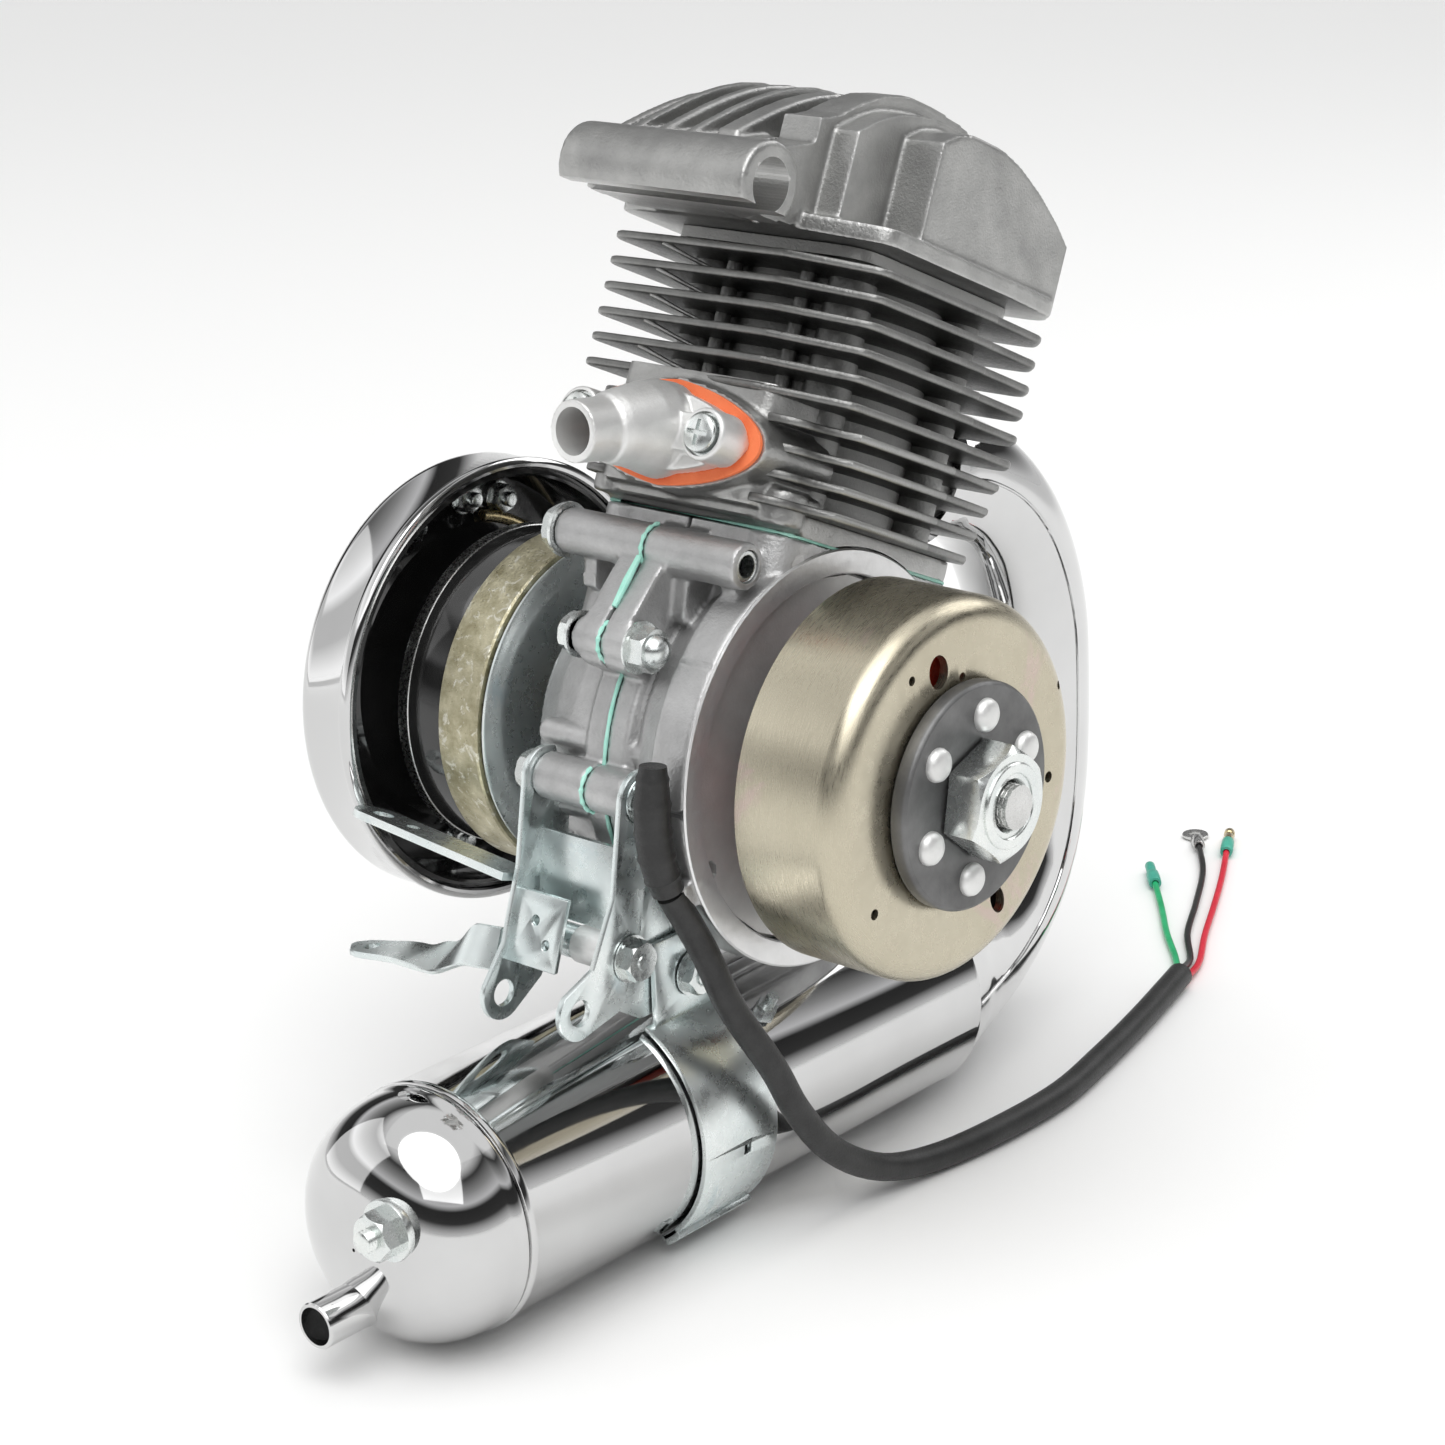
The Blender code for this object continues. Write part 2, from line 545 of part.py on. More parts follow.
# ---------------------------------------------------------------- flywheel
cup = lathe([(49.0, FLY_X0), (FLY_R, FLY_X0), (FLY_R, 73.5), (51.4, 76.3), (49.8, 78.3), (47.2, FLY_X1),
             (16.2, FLY_X1), (16.2, 76.3), (49.0, 76.3)], 44, ring=True)


def oval(ang, rad, hr, ht, n=12):
    """Opening in the flywheel face; ang measured in the (y, z) plane."""
    a = math.radians(ang)
    cy_, cz_ = rad * math.cos(a), rad * math.sin(a)
    pts = []
    for k in range(n):
        t = 2 * math.pi * k / n
        pr, pt = rad + hr * math.cos(t), ht * math.sin(t)
        y = pr * math.cos(a) - pt * math.sin(a)
        z = pr * math.sin(a) + pt * math.cos(a)
        pts.append((y, z))
    return yz_prism(pts, 70, 90)


openings = [oval(104, 31.8, 4.2, 3.4), oval(-66, 38.0, 4.0, 3.4), oval(120, 41.0, 1.3, 1.3, 8),
            oval(22, 45.5, 1.3, 1.3, 8), oval(-150, 43.1, 1.4, 1.4, 8)]
inv = TO_X.inverted()
cup = cut(cup, *[moved(o, inv) for o in openings])
add("flywheel_cup", cup, M_GOLD, CRANK, rot=(0, 90, 0))
add("flywheel_magnets", lathe([(43.5, 50.0), (48.3, 50.0), (48.3, 75.0), (43.5, 75.0)], 32, ring=True), M_DARK, CRANK, rot=(0, 90, 0))
hub = lathe([(9.7, 52.0), (15.8, 52.0), (15.8, 79.6), (30.4, 79.6), (30.8, 80.2), (30.8, 84.0), (30.2, 84.6),
             (7.9, 84.6), (7.9, 78.0)], 36, ring=True)
rivets = []
for k in range(6):
    a = math.radians(81 + 60 * k)
    rivets.append(moved(shift(moved(lathe([(0, 83.5), (4.4, 83.5), (4.4, 86.3), (3.2, 87.5), (0, 87.9)], 12), TO_X),
                              0, 21.5 * math.cos(a), 21.5 * math.sin(a)), inv))
add("flywheel_hub", union(hub, *rivets), M_DARK, CRANK, rot=(0, 90, 0))
nut = washer_nut(27.0, 6.4, 84.9, 95.5, 0, 0, 20, 16)
add("flywheel_nut", moved(nut, inv), M_ZINC, CRANK, rot=(0, 90, 0), bevel=None)

# ---------------------------------------------------------------- clutch drum on the crank
db = []
for a0 in (70, 118, 190, 262, 334, 22):
    a = math.radians(a0)
    db.append(moved(shift(moved(lathe([(0, -105.5), (3.4, -105.5), (3.4, -101.6), (2.4, -100.6), (0, -100.6)], 10), TO_X),
                          0, 47.0 * math.cos(a), 47.0 * math.sin(a)), inv))
drum = lathe([(10.0, -107.0), (59.5, -107.0), (62.6, -106.2), (64.0, -104.3), (DRUM_R, -101.5), (DRUM_R, -88.2),
              (65.3, -87.4), (65.3, -85.4), (64.4, -84.6), (61.6, -84.6), (62.0, -88.0), (62.0, -101.5), (60.5, -104.2), (10.0, -104.6)], 44, ring=True)
add("clutch_drum", union(drum, *db), M_CHROME, CRANK, rot=(0, 90, 0))
carrier = lathe([(8.75, -104.2), (15.0, -104.2), (15.0, -88.0), (41.0, -88.0), (41.0, -85.0), (8.75, -85.0)], 28, ring=True)
add("clutch_carrier", carrier, M_BLACKP, CRANK, rot=(0, 90, 0))
# expanding friction ring, split opposite its anchor
pts = [(41.8 * math.cos(math.radians(10 + 340 * j / 18)), 41.8 * math.sin(math.radians(10 + 340 * j / 18))) for j in range(19)]
pts += [(33.0 * math.cos(math.radians(10 + 340 * j / 18)), 33.0 * math.sin(math.radians(10 + 340 * j / 18))) for j in range(18, -1, -1)]
add("clutch_shoe_ring", prism(pts, -84.6, -70.5), M_DARK, CRANK, rot=(0, 90, 0))
add("clutch_nut", moved(washer_nut(19.0, 6.3, -115.0, -107.3, 0, 0, 10, 24), inv), M_ZINC, CRANK, rot=(0, 90, 0))

# ---------------------------------------------------------------- driven pulley
bell = lathe([(12.3, -69.2), (42.6, -69.2), (43.6, -70.2), (43.6, -83.2), (BELL_R, -83.2), (BELL_R, -66.2), (12.3, -66.2)], 40, ring=True)
add("clutch_bell", bell, M_BLACKP, PULLEY, rot=(0, 90, 0))
band = lathe([(12.3, -60.0), (45.6, -60.0), (45.6, -65.8), (BAND_R, -65.8), (BAND_R, -50.7), (45.6, -50.7), (45.6, -57.0), (12.3, -57.0)], 40, ring=True)
add("pulley_band", band, M_BRONZE, PULLEY, rot=(0, 90, 0))
disc = lathe([(12.3, -50.3), (DISC_R, -50.3), (DISC_R, -48.6), (30.0, -47.4), (12.3, -47.4)], 40, ring=True)
add("pulley_disc", disc, M_ZINC, PULLEY, rot=(0, 90, 0))
bush = lathe([(8.8, -84.3), (11.9, -84.3), (11.9, -45.0), (8.8, -45.0)], 24, ring=True)
add("pulley_bushing", bush, M_BRONZE, PULLEY, rot=(0, 90, 0))

# ================================================================ piston and rod
pis = lathe([(0, 27.5), (18.4, 27.0), (19.25, 26.2), (19.25, -20.0), (16.6, -20.0), (16.6, 20.5), (14.0, 23.3), (0, 23.5)], 32)
bosses = [x_cyl(8.6, 7.6, 16.9, 0, 0, 16), x_cyl(8.6, -16.9, -7.6, 0, 0, 16)]
pis = union(pis, *bosses)
grooves = [lathe([(17.6, 18.0), (20.5, 18.0), (20.5, 20.2), (17.6, 20.2)], 32, ring=True)]
pis = cut(pis, x_cyl(6.3, -25, 25, 0, 0, 20), *grooves)
add("piston", pis, M_PISTON, PISTON)
add("piston_ring", lathe([(17.9, 18.35), (19.35, 18.35), (19.35, 19.85), (17.9, 19.85)], 32, ring=True), M_IRON, PISTON)
pin = lathe([(3.6, -16.8), (6.0, -16.8), (6.0, 16.8), (3.6, 16.8)], 20, ring=True)
add("gudgeon_pin", pin, M_STEEL, PISTON, rot=(0, 90, 0))

shank = yz_prism([(-4.4, -5), (4.4, -5), (5.0, -ROD_LEN + 8), (-5.0, -ROD_LEN + 8)], -3.2, 3.2)
rod = union(shank, x_cyl(9.3, -5.6, 5.6, 0, 0, 20), x_cyl(12.4, -5.6, 5.6, 0, -ROD_LEN, 24))
rod = cut(rod, x_cyl(6.35, -10, 10, 0, 0, 20), x_cyl(9.3, -10, 10, 0, -ROD_LEN, 20))
add("connecting_rod", rod, M_STEEL, ROD)
cage = lathe([(6.8, -5.2), (8.8, -5.2), (8.8, 5.2), (6.8, 5.2)], 20, ring=True)
add("big_end_cage", cage, M_BRONZE, ROD, loc=(0, 0, -ROD_LEN), rot=(0, 90, 0))
add("crankpin", lathe([(0, -5.75), (6.45, -5.75), (6.45, 5.75), (0, 5.75)], 20), M_STEEL, ROD, loc=(0, 0, -ROD_LEN), rot=(0, 90, 0))

# ================================================================ stator
stp = moved(lathe([(24.2, 27.3), (50.0, 27.3), (50.0, 31.0), (24.2, 31.0)], 36, ring=True), TO_X)
stp = cut(stp, x_cyl(3.4, 20, 40, -46.0, -19.0, 10))
add("stator_plate", stp, M_MACH, ENGINE)
st_core = lathe([(19.6, 44.0), (30.0, 44.0), (30.0, 56.0), (19.6, 56.0)], 24, ring=True)
arms = []
for k in range(2):
    a = 90 + 180 * k
    arm_ = union(box(28.5, 38.0, -4.5, 4.5, 45.0, 55.0), box(37.5, 41.0, -9.0, 9.0, 45.0, 55.0))
    arms.append(moved(arm_, Matrix.Rotation(math.radians(a), 4, 'Z')))
posts = [moved(cyl(2.5, 31.3, 44.5, 10, 27.0, 0), Matrix.Rotation(math.radians(180 * k), 4, 'Z')) for k in range(2)]
add("stator_core", union(st_core, *arms, *posts), M_DARK, ENGINE, rot=(0, 90, 0))
for k, nm in enumerate(("ignition_coil", "lighting_coil")):
    c = cut(box(30.5, 37.2, -9.0, 9.0, 41.0, 59.0), box(26.0, 39.0, -4.8, 4.8, 44.7, 55.3))
    add(nm, moved(c, Matrix.Rotation(math.radians(90 + 180 * k), 4, 'Z')), M_COIL, ENGINE, rot=(0, 90, 0))

# ================================================================ exhaust
port_y, port_z = cyl_to_engine(0, 47.4, 88.0)[1:]
path2 = [(port_y, port_z), (95.0, 53.6), (112.0, 44.5), (127.0, 30.5), (136.0, 12.0), (138.5, -10.0), (138.5, -38.0),
         (136.0, -60.0), (128.0, -77.0), (114.0, -89.0), (97.0, -94.6), (82.0, -95.5), (MUF_Y1 + 0.4, MUF_Z)]
rad2 = [17.5, 19.0, 19.0, 19.0, 19.0, 19.0, 19.0, 19.0, 19.5, 21.0, 25.0, 29.5, 33.2]
add("exhaust_pipe", loft([(0, y, z) for y, z in path2], rad2, 20, wall=1.3), M_CHROME, ENGINE)
muf = lathe([(32.7, MUF_Y0 - 4.0), (SEAM_R - 0.6, MUF_Y0 - 4.0), (SEAM_R, MUF_Y0 - 3.2), (SEAM_R, MUF_Y0 - 1.0), (MUF_R, MUF_Y0),
             (MUF_R, MUF_Y1), (32.7, MUF_Y1)], 40, ring=True)

add("muffler_body", muf, M_CHROME, ENGINE, loc=(0, 0, MUF_Z), rot=(-90, 0, 0))
Y_C = MUF_Y0 - 4.3
STUD = (13.0, 9.5)       # end stud, offset from the silencer axis
TAIL = (-3.0, -17.5)     # tail pipe, offset from the silencer axis


def dome_arc(rad, depth, angles):
    return [(4.0 + rad * math.cos(math.radians(a)), Y_C - 1.0 - depth * math.sin(math.radians(a))) for a in angles]


dome = [(32.7, Y_C), (34.0, Y_C)] + dome_arc(30.0, 28.0, (0, 25, 50, 70, 90)) + [(2.0, Y_C - 29.0), (2.0, Y_C - 27.6)] \
    + dome_arc(28.6, 26.6, (90, 65, 35, 0))
cap = lathe(dome, 40, ring=True)
tp = shift(lathe([(0, -163.5), (5.4, -163.5), (5.4, -132.0), (0, -132.0)], 18), TAIL[0], -TAIL[1], 0)
cap = union(cap, tp)
cap = cut(cap, cyl(4.2, -170, -100, 14, TAIL[0], -TAIL[1]), cyl(3.4, Y_C - 40, Y_C + 2, 12, STUD[0], -STUD[1]))
add("muffler_end_cap", cap, M_CHROME, ENGINE, loc=(0, 0, MUF_Z), rot=(-90, 0, 0))
rodm = lathe([(0, -160.0), (2.6, -160.0), (3.0, -159.4), (3.0, -136.0), (0, -136.0)], 12)
mn = prism(hexagon(11.0, 0, 0, 10), -157.0, -152.2)
add("muffler_stud_nut", union(rodm, mn), M_ZINC, ENGINE, loc=(STUD[0], 0, MUF_Z + STUD[1]), rot=(-90, 0, 0))

# ================================================================ brackets
def plate_yz(points, x0, x1, holes):
    return cut(yz_prism(points, x0, x1), *[x_cyl(r, x0 - 1, x1 + 1, y, z, 14) for y, z, r in holes])


def arc(cy_, cz_, r, a0, a1, n=6):
    return [(cy_ + r * math.cos(math.radians(a0 + (a1 - a0) * i / n)),
             cz_ + r * math.sin(math.radians(a0 + (a1 - a0) * i / n))) for i in range(n + 1)]


EAR_R = (-81.0, -51.0)
EAR_L = (-74.6, -56.0)
rp = arc(low_y, low_z, 8.0, 60, 170, 5) + [(-66.0, -24.0), (-76.0, -42.0)] + arc(*EAR_R, 8.0, 130, 290, 6) \
    + [(-60.0, -59.5), (-28.0, -59.5), (-31.0, -48.0), (-40.0, -28.0), (-46.5, -10.0)]
lp = arc(low_y, low_z, 8.0, 60, 170, 5) + [(-66.0, -22.0), (-73.0, -42.0)] + arc(*EAR_L, 8.0, 150, 300, 6) \
    + [(-60.0, -56.0), (-50.0, -40.0), (-46.5, -10.0)]
X_RP, X_LP = (13.8, 15.6), (-20.5, -18.7)
rp_me = plate_yz(rp, *X_RP, [(low_y, low_z, 3.6), (*EAR_R, 3.6), (-39.5, -52.5, 3.4), (-61.0, -42.0, 3.4)])
lp_me = plate_yz(lp, *X_LP, [(low_y, low_z, 3.6), (*EAR_L, 3.6), (-61.0, -42.0, 3.4)])
# web across the back of the U
web = yz_prism([(-56.5, -14.0), (-54.9, -14.0), (-58.4, -37.0), (-60.0, -37.0)], X_LP[0] + 0.5, X_RP[1] - 0.5)
box_w = yz_prism([(-66.6, -28.0), (-65.0, -28.0), (-71.6, -47.0), (-73.2, -47.0)], -19.5, -1.5)

spacer = cut(x_cyl(5.0, -19.5, 14.5, -61.0, -42.0, 16), x_cyl(3.4, -30, 30, -61.0, -42.0, 12))
add("engine_bracket", union(rp_me, lp_me, web, box_w, spacer), M_ZINC, ENGINE)

# flat torque arm, edge towards -Y
ta = box(-78.0, -21.5, -7.0, 7.0, -1.1, 1.1)
ta = union(ta, cyl(7.0, -1.1, 1.1, 16, -78.0, 0.0))
ta = cut(ta, cyl(3.0, -5, 5, 12, -76.0, 0.0), cyl(2.0, -5, 5, 10, -64.0, 0.0))
ta_m = Matrix.Translation((0, -0.0640, -0.0285)) @ Matrix.Rotation(math.radians(-18), 4, 'X') @ Matrix.Rotation(math.radians(5), 4, 'Y')
add("torque_arm", moved(ta, ta_m), M_ZINC, ENGINE)
# cranked cable lever
lever_path = [(-21.2, -73.0, -44.5), (-30.0, -74.0, -45.0), (-40.0, -76.5, -50.5), (-50.0, -77.0, -52.0), (-74.0, -77.5, -55.0)]
lv = bmesh.new()
prev = None
for i, (x, y, z) in enumerate(lever_path):
    w = 6.0 if i < 4 else 5.0
    tw = math.radians((70, 55, 25, 5, 0)[i])
    c, s_ = math.cos(tw), math.sin(tw)
    quad = []
    for du, dv in ((-w, -0.9), (w, -0.9), (w, 0.9), (-w, 0.9)):
        quad.append(lv.verts.new(((x) * MM, (y + du * c - dv * s_) * MM, (z + du * s_ + dv * c) * MM)))
    if prev:
        for j in range(4):
            lv.faces.new((prev[j], prev[(j + 1) % 4], quad[(j + 1) % 4], quad[j]))
    else:
        lv.faces.new(quad)
    prev = quad
lv.faces.new(prev)
add("cable_lever", finish(lv, "lever"), M_ZINC, ENGINE)

# silencer strap
def strap_band(r0, r1, a0, a1, y0, y1, n=16):
    pts = arc(0, MUF_Z, r1, a0, a1, n) + arc(0, MUF_Z, r0, a1, a0, n)
    return xz_prism(pts, y0, y1)


st_band = strap_band(34.45, 36.0, 62, -60, -56.0, -27.0, 12)
a62 = math.radians(62)
tab = xz_prism([(16.1, -44.0), (17.8, -44.0), (17.9, -62.0), (17.0, -64.6), (16.0, -64.2)], -56.0, -30.0)
lip = xz_prism([(-9.0, -129.45), (-9.4, -128.0), (-10.5, -128.6), (-10.6, -129.5)], -56.0, -27.0)
strap = union(st_band, tab)
strap = cut(strap, x_cyl(3.4, 10, 25, -39.5, -52.5, 14))
add("muffler_strap", strap, M_ZINC, ENGINE)

# ================================================================ case fasteners
add("mount_bush", cut(union(x_cyl(6.6, -36.0, -31.9, up_y, up_z, 18), x_cyl(3.9, -32.5, 31.0, up_y, up_z, 16)),
                      x_cyl(3.1, -40, 40, up_y, up_z, 14)), M_ZINC, ENGINE)


def fastener(name, y, z, grip, tail, r=3.0, turn=20, nut=4.6):
    """Hexagon bolt and nut along X; grip is the clamped span."""
    a, b = grip[0] - GAP, grip[1] + GAP
    me = union(bolt_x(r, a - 0.5, b + tail, 10, a - 4.4, a, y, z, turn, 12), yz_prism(hexagon(10, y, z, turn), b, b + nut))
    add(name, me, M_ZINC, ENGINE)


fastener("case_bolt_front", mid_y, mid_z, (-10.2, 9.7), 9.8)
fastener("case_bolt_rear", *BACK_UP, (-19.5, 19.5), 6.5)
fastener("mount_bolt", low_y, low_z, (-20.5, 15.6), 3.6, 3.2, 8, 3.2)
fastener("bracket_bolt", -61.0, -42.0, (-20.5, 15.6), 5.0, 3.0, 5)
fastener("strap_bolt", -39.5, -52.5, (13.8, 17.8), 5.0, 3.0, 5)

# ================================================================ wiring
SHEATH_R, WIRE_R = 4.0, 1.1
LAY = FLOOR_Z + SHEATH_R + 0.1
SHEATH = [(28.8, -58.6, -21.5), (32.6, -51.0, -38.7), (37.2, -46.0, -55.6), (41.9, -35.0, -76.0), (42.4, -26.0, -92.0),
          (43.2, -12.0, -109.0), (44.5, 8.0, -121.5), (47.0, 30.0, LAY), (50.2, 55.1, LAY), (50.3, 84.9, LAY),
          (45.5, 112.2, LAY), (38.4, 144.0, LAY), (28.7, 180.8, LAY)]
Z1, Z2 = FLOOR_Z + 1.3, FLOOR_Z + 2.2
WIRES = {
    "wire_red": [(30.1, 181.9, LAY - 1.2), (24.5, 198.0, Z1), (13.0, 219.0, Z1), (0.5, 244.0, Z1), (-12.0, 268.0, Z1), (-26.0, 293.0, Z2)],
    "wire_black": [(28.4, 181.5, LAY + 1.5), (20.5, 199.0, Z1), (7.5, 217.0, Z1), (-5.0, 241.0, Z1), (-20.0, 268.0, Z1), (-36.0, 289.0, Z2)],
    "wire_green": [(27.2, 181.1, LAY - 1.2), (17.0, 196.0, Z1), (2.0, 213.0, Z1), (-13.0, 232.0, Z1), (-30.0, 252.0, Z2)],
}


def tube(name, route, radius, mat, step, res):
    pts = resample(smooth_curve([Vector(p) for p in route], 12), step)
    cu = bpy.data.curves.new(name, 'CURVE')
    cu.dimensions = '3D'
    cu.bevel_depth = radius * MM
    cu.bevel_resolution = res
    cu.use_fill_caps = True
    sp = cu.splines.new('POLY')
    sp.points.add(len(pts) - 1)
    for q, p in zip(sp.points, pts):
        q.co = (p.x * MM, p.y * MM, p.z * MM, 1.0)
    sp.use_smooth = True
    ob = bpy.data.objects.new(name, cu)
    cu.materials.append(mat)
    scene.collection.objects.link(ob)
    ob.parent = ENGINE
    return pts


tube("harness_sheath", SHEATH, SHEATH_R, M_RUBBER, 8.0, 2)
ends = {}
for nm, mt in (("wire_red", M_RED), ("wire_black", M_BLACKP), ("wire_green", M_GREEN)):
    p = tube(nm, WIRES[nm], WIRE_R, mt, 7.0, 1)
    ends[nm] = (p[-1], (p[-1] - p[-2]).normalized())

# moulded grommet where the harness leaves the magneto housing
gr = [(28.0, -62.6, 15.0), (28.0, -63.4, 6.0), (28.0, -63.4, -4.0), (28.1, -61.8, -13.0), (28.6, -59.4, -20.2)]
add("harness_grommet", loft(gr, [3.6, 4.8, 5.0, 4.9, 4.4], 14), M_RUBBER, ENGINE)


def at_end(nm, me, back=0.0):
    p, d = ends[nm]
    yaw = math.atan2(d.y, d.x)
    q = p - d * back
    return moved(me, Matrix.Translation((q.x * MM, q.y * MM, (FLOOR_Z + 2.2) * MM)) @ Matrix.Rotation(yaw, 4, 'Z'))


def barrel_x(r0, r1, x0, x1, n=14):
    return moved(lathe([(r0, x0), (r1, x0), (r1, x1), (r0, x1)], n, ring=True), TO_X)


eye = cut(union(cyl(4.6, -2.0, -1.0, 18, 9.6, 0), box(-0.5, 7.0, -2.0, 2.0, -2.0, -1.0)), cyl(2.3, -5, 5, 14, 9.6, 0))
ring_t = union(eye, barrel_x(1.45, 2.1, -6.0, 1.2))
add("ring_terminal", at_end("wire_black", ring_t), M_BRASS, ENGINE)
# keep only what is linked and used
for me in list(bpy.data.meshes):
    if me.users == 0:
        bpy.data.meshes.remove(me)
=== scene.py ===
import json
import math
import bpy
import bmesh
from mathutils import Matrix, Vector, noise as mnoise


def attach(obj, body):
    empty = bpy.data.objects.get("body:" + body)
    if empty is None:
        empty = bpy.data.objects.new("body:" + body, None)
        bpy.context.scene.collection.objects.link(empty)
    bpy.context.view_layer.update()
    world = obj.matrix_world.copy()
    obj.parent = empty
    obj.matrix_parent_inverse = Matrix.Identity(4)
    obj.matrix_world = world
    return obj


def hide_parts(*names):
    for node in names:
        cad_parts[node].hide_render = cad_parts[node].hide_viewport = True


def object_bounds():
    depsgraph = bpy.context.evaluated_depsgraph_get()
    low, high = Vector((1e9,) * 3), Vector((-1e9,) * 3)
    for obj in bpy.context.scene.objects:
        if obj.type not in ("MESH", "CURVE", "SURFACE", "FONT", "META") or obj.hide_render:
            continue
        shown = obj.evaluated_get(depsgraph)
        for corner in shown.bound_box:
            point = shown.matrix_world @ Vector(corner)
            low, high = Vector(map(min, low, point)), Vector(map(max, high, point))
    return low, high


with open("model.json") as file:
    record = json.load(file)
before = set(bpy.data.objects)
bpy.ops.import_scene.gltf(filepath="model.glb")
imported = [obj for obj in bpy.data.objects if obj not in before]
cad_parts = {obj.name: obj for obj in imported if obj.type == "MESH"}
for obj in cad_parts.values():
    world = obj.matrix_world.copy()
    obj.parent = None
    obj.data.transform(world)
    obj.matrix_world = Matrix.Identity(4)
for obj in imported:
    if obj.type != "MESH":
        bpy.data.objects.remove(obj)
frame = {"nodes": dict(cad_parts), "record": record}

lo0, hi0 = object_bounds()
scene = bpy.context.scene
MM = 0.001

# ------------------------------------------------------------------ frames (mm, engine axes)
LEAN = 24.0
ca, sa = math.cos(math.radians(LEAN)), math.sin(math.radians(LEAN))


def c2e(x, y, z):
    return (x, y * ca + z * sa, -y * sa + z * ca)


HANGER = c2e(0.0, -76.4, 138.2)
OFF = Vector((-HANGER[0], -HANGER[1], -HANGER[2])) * MM
M_ENG = Matrix.Translation(OFF)
M_CYL = M_ENG @ Matrix.Rotation(math.radians(-LEAN), 4, 'X')
TO_X = Matrix.Rotation(math.radians(90), 4, 'Y')
TO_Y = Matrix.Rotation(math.radians(-90), 4, 'X')
TO_CYL = Matrix.Rotation(math.radians(-LEAN), 4, 'X')
MUF_Z, MUF_R, MUF_Y0, MUF_Y1, SEAM_R = -95.5, 34.0, -118.0, 68.0, 34.6
FLOOR_Z = MUF_Z - SEAM_R
HEAD_Z = 132.8


def W(x, y, z):
    return OFF + Vector((x, y, z)) * MM


# ------------------------------------------------------------------ camera
cam_d = bpy.data.cameras.new("camera")
cam = bpy.data.objects.new("camera", cam_d)
scene.collection.objects.link(cam)
right = Vector((0.75629885, 0.65345106, -0.0318397))
up = Vector((-0.18775673, 0.26341381, 0.94623495))
back = Vector((0.62670524, -0.70965828, 0.32190939))
cam.matrix_world = Matrix(((right.x, up.x, back.x, 0.5938), (right.y, up.y, back.y, -0.6622),
                           (right.z, up.z, back.z, 0.1524), (0, 0, 0, 1)))
cam_d.lens = 85.95
cam_d.sensor_width = 36.0
cam_d.clip_start = 0.05
cam_d.clip_end = 20
scene.camera = cam


# ------------------------------------------------------------------ materials
def new_mat(name):
    m = bpy.data.materials.new(name)
    m.use_nodes = True
    nt = m.node_tree
    return m, nt, nt.nodes["Principled BSDF"]


def noise_node(nt, vec, scale, detail=4.0, rough=0.55, dist=0.0):
    n = nt.nodes.new("ShaderNodeTexNoise")
    n.inputs["Scale"].default_value = scale
    n.inputs["Detail"].default_value = detail
    n.inputs["Roughness"].default_value = rough
    n.inputs["Distortion"].default_value = dist
    nt.links.new(vec, n.inputs["Vector"])
    return n


def ramp(nt, fac, stops):
    r = nt.nodes.new("ShaderNodeValToRGB")
    while len(r.color_ramp.elements) < len(stops):
        r.color_ramp.elements.new(0.5)
    for e, (p, c) in zip(r.color_ramp.elements, stops):
        e.position = p
        e.color = (*c, 1.0) if len(c) == 3 else c
    nt.links.new(fac, r.inputs["Fac"])
    return r


